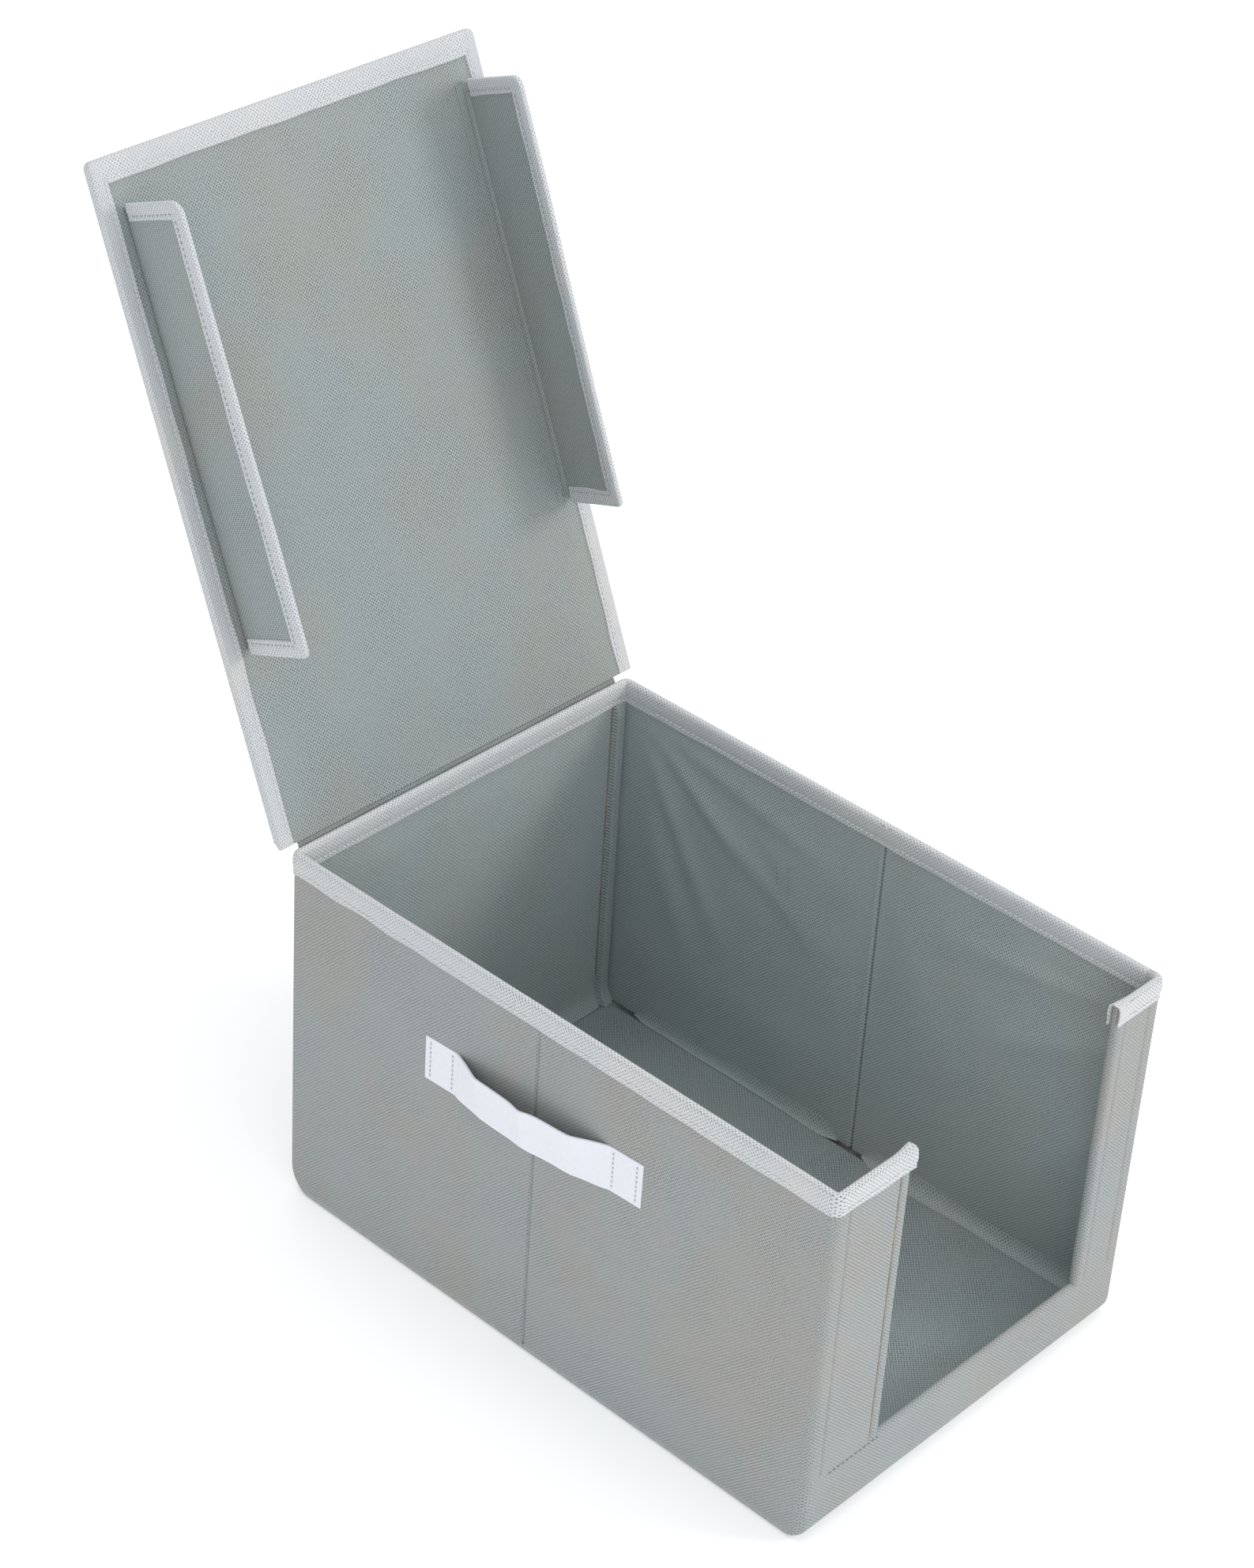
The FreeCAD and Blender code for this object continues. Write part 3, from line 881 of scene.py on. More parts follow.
for name, body in (
    ("back_board", "back"),
    ("left_post_board", "front"),
    ("right_post_board", "front"),
    ("sill_board", "front"),
):
    (x0, y0, z0), (x1, y1, z1) = low(name), high(name)
    upright = (np.array([0, (y0 + y1) / 2, 0]), *np.array([[1.0, 0, 0], [0, 0, 1.0], [0, 1.0, 0]]))
    across = (max(x0 + 1.5, 3.5 - HALF_X), min(x1 - 1.5, HALF_X - 3.5))
    card(f"{name[:-6]}_card", upright, across, (z0, z1 - 2.5), y1 - y0, body, name)

# Back wall: outside and inside skins with both corners, and its rim binding
back_line = end_line(1, fine=(121.2, 128.6))
back_outer = shell(
    "back_outer_cloth",
    sweep(back_line, vertical(HALF_WALL), end_outer_swell),
    sweep(back_line, vertical(HALF_WALL - PLY), end_outer_swell),
    run_uv(back_line, vertical(HALF_WALL)),
    OUTER,
    "outer_fabric",
)
back_inner = shell(
    "back_lining_cloth",
    sweep(back_line, vertical(-HALF_WALL), end_inner_swell, -1),
    sweep(back_line, vertical(PLY - HALF_WALL), end_inner_swell, -1),
    run_uv(back_line, vertical(HALF_WALL)),
    LINING_PAINTED_LIGHTER,
    "lining_fabric",
)
for skin, hidden in ((back_outer, "back_outer"), (back_inner, "back_lining")):
    place(skin, "back")
    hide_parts(hidden)
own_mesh(back_inner)
back_tape = rim_tape("back_rim_tape", back_line, "back", hides=["rim_binding_back"], seed=4)


def sock(name, sign, cut, corner_y, lip, hides):
    """A front post's cloth: from the corner across the outside, round the cut edge, and back inside.

    The path is carried up the post, and the cloth's two sides are half a ply either side of it.
    """
    mid = HALF_WALL - PLY / 2
    x0 = sign * (MID_X - CORNER)
    y0 = -(MID_Y - CORNER)
    out_arc = turn((x0, y0), CORNER + mid, *((0, -90) if sign > 0 else (180, 270)), 7)
    in_arc = turn((x0, y0), CORNER - mid, -90, 0 if sign > 0 else -180, 7)
    edge_x = cut + sign * (lip + PLY / 2)
    edge = turn((edge_x, -MID_Y), lip, -90, -270 if sign > 0 else 90, 13)
    stitch, seam = edge_x + sign * 5.0, sign * (HALF_X - 11.0)
    outer_x = spaced(x0, edge_x, 3.0, (stitch, seam), 3.0, 0.5)[1:-1]
    inner_x = spaced(edge_x, x0, 3.0)[1:-1]
    outside = np.stack([outer_x, 0 * outer_x - MID_Y - mid], -1)
    inside = np.stack([inner_x, 0 * inner_x - MID_Y + mid], -1)
    outside[:, 1] -= (lip - mid) * hump(outside[:, 0], edge_x, 7)
    inside[:, 1] += (lip - mid) * hump(inside[:, 0], edge_x, 7)
    outside[:, 1] += 0.9 * hump(outside[:, 0], stitch, 1.3)
    outside[:, 1] += 0.7 * hump(outside[:, 0], seam, 0.9)
    start = np.array([[sign * (MID_X + mid), corner_y]])
    stop = np.array([[sign * (MID_X - mid), corner_y]])
    path = np.concatenate([start, out_arc, outside, edge, inside, in_arc, stop])
    kept = np.concatenate([[True], np.linalg.norm(np.diff(path, axis=0), axis=1) > 0.02])
    path = path[kept]
    step = np.gradient(path, axis=0)
    normal = np.stack([-step[:, 1], step[:, 0]], -1)
    normal /= np.linalg.norm(normal, axis=1)[:, None]
    z = spaced(SILL_TOP - 1.4, RIM, 5.0)
    wander = 0.5 * ripple(z, 0 * z, 70, 61)[None, :] * hump(path[:, 0], cut, 14)[:, None]
    wander *= 1 - rise(z, 190, 226)[None, :]
    sides = []
    for half in (PLY / 2, -PLY / 2):
        flat = path + normal * half
        x = flat[:, 0][:, None] + wander
        y = flat[:, 1][:, None] + 0 * z[None, :]
        sides.append(np.stack([x, y, z[None, :] + 0 * x], -1))
    run = length_along(path)
    piece = shell(name, *sides, crossed(run, z), OUTER, "outer_fabric")
    place(piece, "front")
    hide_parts(*hides)

sock("left_post_cloth", -1, CUT_LEFT, -(MID_Y - CORNER), 1.7, ["left_post_outer", "left_post_lining"])
sock(
    "right_post_cloth",
    1,
    CUT_RIGHT,
    -191.1,
    2.9,
    ["right_post_outer", "right_post_lining", "corner_seam_front_right"],
)

# Sill: one cloth up the outside, over the top and down the inside
front_line = end_line(-1)
tail = side_line(1, np.array([-191.1]))
tail[:, 4] = front_line[-1, 4] + 3.9
front_line = np.concatenate([front_line, tail])


def sill_profile(half):
    """The sill's cross-section: up the outside, round the top on a half circle, and down the inside."""
    top = SILL_TOP - HALF_WALL
    z = spaced(WALL_LOW, top, 3.0)
    arc = turn((0, top), half, 0, 180, 9)[1:-1]
    return np.concatenate([np.stack([half + 0 * z, z], -1), arc, np.stack([-half + 0 * z, z[::-1]], -1)])


sill_face, sill_back = sill_profile(HALF_WALL), sill_profile(HALF_WALL - PLY)


def sill_swell(x, y, z):
    """The sill's slight waves, in a band about 24 mm up, dying out at the corners."""
    held = rise(x, -130, -100) * (1 - rise(x, 100, 130))
    return held * (0.25 * (1 + ripple(x, z, 50, 71))) * hump(z, 24, 14)


sill = shell(
    "sill_cloth",
    sweep(front_line, sill_face, sill_swell),
    sweep(front_line, sill_back, sill_swell),
    run_uv(front_line, sill_face),
    OUTER,
    "outer_fabric",
)
place(sill, "front")
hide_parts("sill_outer", "sill_lining")


# Post bindings, with raw ends that lift off the posts
def end_lift(cut, sign):
    """Raise and open the last few millimetres of a raw-cut tape."""

    def lift(points):
        near = 1 - rise(sign * (points[..., 0] - cut), -3, 11)
        on_front = points[..., 1] < -(HALF_Y - 6)
        points[..., 2] += near * 1.3 * on_front
        points[..., 1] -= near * 1.6 * on_front * (points[..., 1] < -MID_Y)
        points[..., 1] += near * 0.9 * on_front * (points[..., 1] > -MID_Y)

    return lift


left_front_line = end_line(-1, right=CUT_LEFT + 1.0)
right_front_line = end_line(-1, left=CUT_RIGHT - 1.0)
right_front_line = np.concatenate([right_front_line, tail])
left_post_tape = rim_tape(
    "left_post_rim_tape",
    left_front_line,
    "front",
    hides=["rim_binding_left_post"],
    seed=6,
    lift=end_lift(CUT_LEFT, -1),
)
right_post_tape = rim_tape(
    "right_post_rim_tape",
    right_front_line,
    "front",
    hides=["rim_binding_right_post"],
    seed=7,
    lift=end_lift(CUT_RIGHT, 1),
)


# ---------------------------------------------------------------- bottom and base insert


BOTTOM_GAP = 0.05
FOOT_TURN = 3.0


def tray(name, end, places, body, hides):
    """Half of the bottom cloth: rings from its low lip round the edge, then in to the crease's middle."""
    middle = CREASE_LEFT + BOTTOM_GAP * end
    down = np.array([middle, *places])
    ring = np.concatenate([side_line(-1, down), end_line(end), side_line(1, down[::-1])])
    z = np.array([WALL_LOW - 0.03, 4.0, 3.0, 2.2, 1.5, 0.9, 0.5, 0.2, 0.0])
    into = FOOT_TURN - np.sqrt(np.maximum(FOOT_TURN**2 - np.clip(FOOT_TURN - z, 0, FOOT_TURN) ** 2, 0))
    sides = []
    for inset in (0.0, 0.8):
        lip = sweep(ring, np.stack([HALF_WALL - into - inset, z], -1))
        lip[..., 2] = np.maximum(lip[..., 2], inset)
        last = lip[:, -1, :]
        share = np.linspace(1, 0, 12)[1:][None, :, None]
        centre = np.array([0.0, middle, inset])
        floor_part = centre + (last[:, None, :] - centre) * share
        floor_part[..., 2] = inset
        sides.append(np.concatenate([lip, floor_part], 1))
    uv = sides[0][..., :2]
    piece = shell(name, *sides, uv, OUTER, "outer_fabric", welded=True)
    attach(piece, body)
    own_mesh(piece)
    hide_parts(hides)


tray("bottom_rear_cloth", 1, (60, 120, 170, 183), "back", "bottom_rear")
tray("bottom_front_cloth", -1, (-60, -120, -165, -183), "front", "bottom_front")

INSERT_LOW, INSERT_HIGH = low("base_cover_lower"), high("base_cover_upper")
INSERT_MID = (INSERT_LOW[2] + INSERT_HIGH[2]) / 2


def insert_cover():
    """The loose base: two faces whose distance falls to nothing on a quarter ellipse at the rim.

    The top has a shallow crease where the bin folds and low waves.
    """
    x = spaced(INSERT_LOW[0], INSERT_HIGH[0], 4.0, (INSERT_LOW[0], INSERT_HIGH[0]), 4, 0.6)
    y = spaced(-193.5, 192.0, 4.0, (-193.5, 192.0, 2.0), 5, 0.6)
    gx, gy, edge = panel_grid(x, y)
    full = np.sqrt(np.clip(1 - (1 - np.clip(edge / 2.6, 0, 1)) ** 2, 0, 1))
    half = (INSERT_HIGH[2] - INSERT_LOW[2]) / 2
    soft = 0.2 * (ripple(gx, gy, 120, 81)) * rise(edge, 2, 20) - 0.9 * hump(gy, 2.0, 2.2) * rise(edge, 1, 6)
    top = INSERT_MID + half * full + soft + 0.15
    bottom = INSERT_MID - half * full
    inward = 4.5 * np.clip((gy - 170) / 22, 0, 1)
    face = np.stack([gx, gy, np.maximum(top, bottom)], -1)
    back = np.stack([gx, gy - inward, bottom], -1)
    rim = edge < 1e-6
    face[rim] = back[rim] = np.stack([gx, gy - inward / 2, INSERT_MID + 0 * gx], -1)[rim]
    piece = shell("base_insert_cover", face, back, face[..., :2], BASE_CLOTH_PAINTED_SHADE, "lining_fabric", welded=True)
    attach(piece, "base_insert")
    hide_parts("base_cover_upper", "base_cover_lower", "base_board")


insert_cover()

HEM_LOW = INSERT_HIGH[2] + 0.2


def foot_hem(name, first, last, body, wide):
    """The lining's seam allowance at the right wall's foot: a strip that curves off the wall to the floor."""
    y = spaced(first, last, 4.0)
    t = np.linspace(0, 1, 9)
    sides = []
    for lift in (0.5, 0.0):
        wave = (1 + 0.12 * ripple(y, 0 * y, 50, 91)) * rise(np.abs(y - first), -6, 12)
        wave *= rise(np.abs(y - last), -6, 12)
        wave = wave[:, None]
        drop = HEM_LOW + lift * 0.6 + (9.4 * wave) * (1 - t[None, :]) ** 2.2
        x = MID_X - HALF_WALL - 0.1 - lift * 0.7 - wide * wave * t[None, :] ** 1.6
        sides.append(np.stack([x, y[:, None] + 0 * x, drop + 0 * x], -1))
    piece = shell(name, *sides, crossed(y, 10 * t), LINING_PAINTED_LIGHTER, "lining_fabric")
    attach(piece, body)
    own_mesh(piece)


foot_hem("foot_hem_right_front", -17, -188, "right_front_wall", 6.5)
foot_hem("foot_hem_right_rear", 170, 3, "right_rear_wall", 3.6)


# ---------------------------------------------------------------- lid and flaps

HINGE = JOINTS["lid_hinge"]
FLAP_AXIS = JOINTS["left_flap_fold"]

U = np.array(FLAP_AXIS["axis"], float)
U /= np.linalg.norm(U)
X = np.array([1.0, 0, 0])
N = np.cross(X, U)
if N[1] > 0:
    N = -N
HINGE_AT = np.array(HINGE["pos_m"], float) * 1000
LID = (HINGE_AT, X, U, N)
LID_NEAR = 4.0
LID_LENGTH = round(float((high("lid_lining")[2] - HINGE_AT[2]) / U[2]), 1)
LID_FAR = LID_LENGTH
LID_X = high("lid_board")[0]
LID_THICK = 4.0


def around(x0, x1, b0, b1, radius0, radius1, step=4.0):
    """Three sides of a panel, open at b0: along x0, round a corner, along b1, round one more, back along x1.

    Each station is its place, its outward normal, and its run.
    """
    up = spaced(b0, b1 - radius0, step)
    down = spaced(b1 - radius1, b0, step)
    over = spaced(x0 + radius0, x1 - radius1, step)[1:-1]
    arc0 = turn((x0 + radius0, b1 - radius0), radius0, 180, 90, 9)
    arc1 = turn((x1 - radius1, b1 - radius1), radius1, 90, 0, 9)
    pieces = [
        np.stack([x0 + 0 * up, up], -1)[:-1],
        arc0,
        np.stack([over, b1 + 0 * over], -1),
        arc1,
        np.stack([x1 + 0 * down, down], -1)[1:],
    ]
    t0, t1 = np.radians(np.linspace(180, 90, 9)), np.radians(np.linspace(90, 0, 9))
    normals = [
        np.tile([-1.0, 0.0], (len(up) - 1, 1)),
        np.stack([np.cos(t0), np.sin(t0)], -1),
        np.tile([0.0, 1.0], (len(over), 1)),
        np.stack([np.cos(t1), np.sin(t1)], -1),
        np.tile([1.0, 0.0], (len(down) - 1, 1)),
    ]
    points, outward = np.concatenate(pieces), np.concatenate(normals)
    return points, outward, length_along(points)


def edging_profile(depth, half, thick):
    """A tape folded over a panel's edge: inset from the edge and height over the panel's middle."""
    inset = np.concatenate([[depth, depth - 0.4], np.linspace(depth - 1.6, 0.6, 8)])
    row = depth - 3
    swell = 0.22 * np.sin(np.pi * np.clip((row - inset) / row, 0, 1)) - 0.32 * hump(inset, row, 0.9)
    ply = np.stack([inset, half + thick + swell], -1)
    ply[0, 1] = half + 0.25
    arc = turn((0.0, 0.0), 1.0, 80, -80, 9)
    outer_arc = np.stack([-thick * arc[:, 0], (half + thick) * arc[:, 1]], -1)
    inner_arc = np.stack([0.05 + 0 * arc[:, 0], (half + 0.02) * arc[:, 1]], -1)
    mirror = ply[::-1] * [1, -1]
    under = np.stack([inset, half + 0.02 + 0 * inset], -1)
    face = np.concatenate([ply, outer_arc, mirror])
    back = np.concatenate([under, inner_arc, under[::-1] * [1, -1]])
    return face, back


def edging(name, axes, outline, box, profile, flex, body, hides, seed, side_share=1.0, reach=0.0):
    """Carry the folded tape round three sides; insets stay in the shrunken panel, which mitres corners."""
    points, outward, run = outline
    x0, x1, b0, b1 = box
    sides = []
    for part in profile:
        inset = part[:, 0][None, :]
        kept = np.maximum(inset, 0)
        a = np.clip(points[:, 0][:, None], x0 + kept * side_share, x1 - kept * side_share)
        b = np.minimum(points[:, 1][:, None], b1 - kept)
        edge = rise(inset, part[:, 0].max() - 4, part[:, 0].max())
        waver = 0.4 * edge * ripple(run[:, None], 30 * np.sign(part[:, 1])[None, :], 30, seed)
        a = a + outward[:, 0][:, None] * (np.maximum(-inset, 0) + waver)
        b = b + outward[:, 1][:, None] * (np.maximum(-inset, 0) + waver)
        c = part[:, 1][None, :] + 0 * a
        b = b - reach * rise(c, -1, 1) * (1 - rise(b, b0, b0 + 12))
        sides.append(lay(axes, a, b, c + flex(a, b)))
    uv = crossed(run, length_along(profile[0]))
    piece = shell(name, *sides, uv, TAPE_CLOTH, "edge_binding", welded=True)
    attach(piece, body)
    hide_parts(hides)
    return piece


def no_flex(a, b):
    """A panel that stays flat."""
    return 0 * (a + b)


LID_MID = (LID[0] - LID[3] * LID_THICK / 2, LID[1], LID[2], LID[3])
lid_outline = around(-LID_X, LID_X, LID_NEAR, LID_FAR, 3.5, 3.5)
edging(
    "lid_edge_tape",
    LID_MID,
    lid_outline,
    (-LID_X, LID_X, LID_NEAR, LID_FAR),
    edging_profile(13.0, LID_THICK / 2, 0.8),
    no_flex,
    "lid",
    "lid_binding",
    8,
    0.72,
    3.4,
)
BOARD_INSET = 2.2
card(
    "lid_card",
    LID_MID,
    (BOARD_INSET - LID_X, LID_X - BOARD_INSET),
    (LID_NEAR, LID_FAR - BOARD_INSET),
    LID_THICK - 2 * PLY,
    "lid",
    "lid_board",
)


def lid_skin(name, sign, hides, paint, slot, seed, height):
    """A face of the lid: a flat ply with broad soft swells that die out at its binding."""
    a = spaced(-LID_X + 1.0, LID_X - 1.0, 5.0)
    b = spaced(LID_NEAR if sign < 0 else 0.4, LID_FAR - 1.0, 5.0)
    ga, gb, edge = panel_grid(a, b)
    held = rise(edge, 9, 60)
    broad = 0.5 + 0.5 * ripple(ga, gb * 0.8, 190, seed)
    swell = held * height * (broad + 0.16 * ripple(ga, gb, 60, seed + 1))
    swell += 0.25 * rise(edge, 12, 22) * height * 0.5
    half = LID_THICK / 2
    face = lay(LID_MID, ga, gb, sign * (half + np.maximum(swell, 0)))
    back = lay(LID_MID, ga, gb, sign * (half - PLY + np.maximum(swell, 0)))
    uv = np.stack([ga, gb], -1)
    piece = shell(name, face, back, uv, paint, slot)
    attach(piece, "lid")
    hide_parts(hides)


lid_skin("lid_outer_cloth", -1, "lid_outer", OUTER, "outer_fabric", 101, 1.4)
lid_skin("lid_lining_cloth", 1, "lid_lining", LID_CLOTH, "lining_fabric", 103, 1.3)


def hinge_cloth():
    """The hinge: cloth from the back wall's outside, over the gap, to the lid's outside, on one bend."""
    lid_a = LID[0] + U * 4.0 - N * (LID_THICK + 0.95)
    lid_b = LID[0] + U * 15.0 - N * (LID_THICK + 0.95)
    knots = np.array([[201.3, 225.0], [201.35, 232.0], [202.3, 240.0], lid_a[1:], lid_b[1:]])
    t, path, normal, run = bent_path(knots, 33)
    x = spaced(8.0 - HALF_X, HALF_X - 8.0, 5.0)
    sides = []
    for half in (0.3, -0.3):
        flat = path + normal * half
        wave = 0.25 * ripple(x, 0 * x, 60, 111)[:, None] * np.sin(np.pi * t / 4)[None, :]
        y = flat[:, 0][None, :] + wave
        sides.append(np.stack([x[:, None] + 0 * y, y, flat[:, 1][None, :] + 0 * y], -1))
    piece = shell("lid_hinge_cloth", *sides, crossed(x, run), LID_CLOTH, "lining_fabric")
    place(piece, ("back", "lid"))
    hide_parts("lid_hinge_strip")


hinge_cloth()

FLAP_TO = LID_LENGTH - 26.0
FLAP_FROM = FLAP_TO - 251.0
FLAP_START, FLAP_END = 1.5, 50.0
FLAP_X = abs(JOINTS["left_flap_fold"]["pos_m"][0]) * 1000
FLAP_OFF = 3.0
FLAP_HALF = 0.8


def flap(side, degrees, body, top_radius, curl, seed):
    """A tuck-in flap: a soft panel on its own axes (along the lid, out from the pivot, and its normal)."""
    angle = np.radians(degrees)
    out = np.cos(angle) * side * X + np.sin(angle) * N
    normal = np.cross(U, out)
    axes = (lay(LID, np.array(side * FLAP_X), np.array(0.0), np.array(FLAP_OFF)), U, out, normal)
    name = "left" if side < 0 else "right"

    def flex(a, b):
        """A slow twist along the flap and a curl towards its free edge."""
        t = (a - FLAP_FROM) / (FLAP_TO - FLAP_FROM)
        bend = curl * (0.38 + 0.62 * np.cos(2.6 * t + 0.3))
        return bend * (b / FLAP_END) ** 2 + 0.2 * ripple(a, b * 2, 90, seed) * (b / FLAP_END)

    a = spaced(FLAP_FROM + 1.2, FLAP_TO - 1.2, 5.0)
    b = spaced(FLAP_START, FLAP_END - 1.2, 3.5)
    ga, gb = np.meshgrid(a, b, indexing="ij")
    corner_a = np.clip(ga - (FLAP_TO - top_radius), 0, None)
    corner_b = np.clip(gb - (FLAP_END - top_radius), 0, None)
    far = np.hypot(corner_a, corner_b)
    pull = np.where(far > top_radius - 1.2, (top_radius - 1.2) / np.maximum(far, 1e-6), 1)
    ga = np.where(far > 0, ga - corner_a * (1 - pull), ga)
    gb = np.where(far > 0, gb - corner_b * (1 - pull), gb)
    face = lay(axes, ga, gb, FLAP_HALF + flex(ga, gb))
    back = lay(axes, ga, gb, -FLAP_HALF + flex(ga, gb))
    uv = np.stack([ga, gb], -1)
    piece = shell(f"{name}_flap_cloth", face, back, uv, LID_CLOTH, "lining_fabric")
    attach(piece, body)
    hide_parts(f"flap_{name}")
    outline = around(FLAP_FROM, FLAP_TO, FLAP_START, FLAP_END, 3.0, top_radius, 3.5)
    edging(
        f"{name}_flap_edge_tape",
        axes,
        outline,
        (FLAP_FROM, FLAP_TO, FLAP_START, FLAP_END),
        edging_profile(9.0, FLAP_HALF, 0.8),
        flex,
        body,
        f"flap_binding_{name}",
        seed + 3,
    )
    spots, along = stitch_lines(
        ((FLAP_FROM + 6.2, 4.0), (FLAP_FROM + 6.2, FLAP_END - 7)),
        ((FLAP_FROM + 7, FLAP_END - 6.2), (FLAP_TO - 9, FLAP_END - 6.2)),
        ((FLAP_TO - 6.2, FLAP_END - 8), (FLAP_TO - 6.2, 4.0)),
    )
    for mark, sign in (("front", 1), ("back", -1)):
        height = sign * (FLAP_HALF + 0.62) + flex(spots[:, 0], spots[:, 1])
        at = lay(axes, spots[:, 0], spots[:, 1], height)
        direction = along[:, :1] * axes[1] + along[:, 1:] * axes[2]
        stitches(f"{name}_flap_{mark}_stitches", at, direction, sign * normal, body, PALE_THREAD, 2.0)
    return axes


left_axes = flap(-1, 87.0, "left_flap", 8.0, 1.6, 121)
right_axes = flap(1, 97.0, "right_flap", 6.0, -1.8, 131)


def flap_joint(side, axes, body, hides):
    """The strip that sews a flap to the lid: flat on the lining, then turned up into the flap."""
    pivot = np.array([side * FLAP_X, FLAP_OFF])
    out = np.array([axes[2] @ X, axes[2] @ N])
    knots = np.array(
        [
            [side * (FLAP_X - 8.5), 0.35],
            [side * (FLAP_X - 4.0), 0.45],
            [side * (FLAP_X - 0.6), 0.7],
            [side * FLAP_X, 1.8],
            pivot + out * 1.5,
            pivot + out * 4.5,
        ]
    )
    _, path, across, run = bent_path(knots, 31)
    b = spaced(FLAP_FROM + 1.5, FLAP_TO - 1.5, 5.0)
    sides = []
    for half in (-0.3, 0.3):
        flat = path + across * half
        ga = flat[:, 0][:, None] + 0 * b[None, :]
        gc = flat[:, 1][:, None] + 0 * b[None, :]
        sides.append(lay(LID, ga, b[None, :] + 0 * ga, gc))
    uv = crossed(run, b)[..., ::-1]
    name = "left" if side < 0 else "right"
    piece = shell(f"{name}_flap_seam_cloth", *sides, uv, LID_CLOTH, "lining_fabric")
    place(piece, ("lid", body))
    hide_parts(hides)


flap_joint(-1, left_axes, "left_flap", "flap_seam_left")
flap_joint(1, right_axes, "right_flap", "flap_seam_right")
for name, side in (("left", -1), ("right", 1)):
    beside = side * (FLAP_X - 3.2)
    spots, along = stitch_line((beside, FLAP_FROM + 3), (beside, FLAP_TO - 3), 2.7)
    at = lay(LID, spots[:, 0], spots[:, 1], 0 * spots[:, 0] + 0.86)
    direction = along[:, :1] * X + along[:, 1:] * U
    stitches(f"{name}_flap_seam_stitches", at, direction, N, "lid", GREY_THREAD, 2.2, 0.5)

# Lid stitches, inside and out
spots, along = stitch_lines(
    ((-LID_X + 7, LID_NEAR + 3), (-LID_X + 7, LID_FAR - 11)),
    ((-LID_X + 8, LID_FAR - 10), (LID_X - 8, LID_FAR - 10)),
    ((LID_X - 7, LID_FAR - 11), (LID_X - 7, LID_NEAR + 3)),
)
for mark, sign in (("inner", 1), ("outer", -1)):
    at = lay(LID_MID, spots[:, 0], spots[:, 1], 0 * spots[:, 0] + sign * (LID_THICK / 2 + 0.66))
    direction = along[:, :1] * X + along[:, 1:] * U
    stitches(f"lid_{mark}_stitches", at, direction, sign * N, "lid", WHITE_THREAD, 2.5, 0.68)


# ---------------------------------------------------------------- stitches of the rim, posts and hem

STITCH = 0.85
RIM_LENGTH = 2.3


def wall_row(name, side, first, last, z, body, offset):
    """A row of stitches along a long wall at one height; a positive offset is outside."""
    x = side * (MID_X + offset)
    spots, along = stitch_line((x, first, z), (x, last, z))
    outwards = (side * np.sign(offset), 0, 0)
    stitches(name, spots, along, outwards, body, WHITE_THREAD, RIM_LENGTH, STITCH)


ROW_IN = TAPE_LOW + 3.0
ROW_OUT = TAPE_OUT_LOW + 3.0
ON_TAPE = HALF_WALL + TAPE - 0.16
for side, name, first, last, body in (
    (-1, "left_rear", 185, 15, "left_rear_wall"),
    (-1, "left_front", -1, -171, "left_front_wall"),
    (1, "right_rear", 171, 1, "right_rear_wall"),
    (1, "right_front", -15, -189, "right_front_wall"),
):
    wall_row(f"{name}_rim_stitches_inside", side, first, last, ROW_IN, body, -ON_TAPE)
    wall_row(f"{name}_rim_stitches_outside", side, first, last, ROW_OUT, body, ON_TAPE)


def end_row(name, end, first, last, z, body, offset, colour=WHITE_THREAD, length=RIM_LENGTH):
    """A row of stitches across an end wall at one height."""
    y = end * (MID_Y + offset)
    spots, along = stitch_line((first, y, z), (last, y, z))
    outwards = (0, end * np.sign(offset), 0)
    stitches(name, spots, along, outwards, body, colour, length, STITCH)


end_row("back_rim_stitches_inside", 1, -126, 126, ROW_IN, "back", -ON_TAPE)
end_row("left_post_rim_stitches", -1, -129, CUT_LEFT - 6, ROW_OUT, "front", ON_TAPE)
end_row("right_post_rim_stitches", -1, CUT_RIGHT + 6, 129, ROW_OUT, "front", ON_TAPE)
end_row("left_post_rim_stitches_inside", -1, -127, CUT_LEFT - 6, ROW_IN, "front", -ON_TAPE)
end_row("right_post_rim_stitches_inside", -1, CUT_RIGHT + 6, 127, ROW_IN, "front", -ON_TAPE)
for name, x in (("left", CUT_LEFT - 7.0), ("right", CUT_RIGHT + 7.6)):
    y = -HALF_Y + 0.35
    spots, along = stitch_line((x, y, SILL_TOP + 3), (x, y, TAPE_OUT_LOW - 2), 3.5)
    stitches(f"{name}_post_stitches", spots, along, (0, -1, 0), "front", GREY_THREAD, 2.0, 0.4)
ON_SILL = HALF_WALL + 0.05
end_row("sill_stitches_left", -1, -118, CUT_LEFT + 1, SILL_TOP - 3.0, "front", ON_SILL, GREY_THREAD, 2.0)
SEWING_ROWS = (((69.0, 178.0), (66.0, 161.0)), ((59.0, 179.0), (57.0, 160.0)))
for count, (start, end) in enumerate(SEWING_ROWS):
    spots, along = stitch_line((130.4, *start), (130.4, *end), 3.0)
    spots[:, 0] = MID_X - HALF_WALL - right_inner_swell(0, spots[:, 1], spots[:, 2]) - 0.1
    name = f"handle_sewing_inside_right_rear_{count}"
    stitches(name, spots, along, (-1, 0, 0), "right_rear_wall", GREY_THREAD, 1.9, 0.45)


# ---------------------------------------------------------------- handles


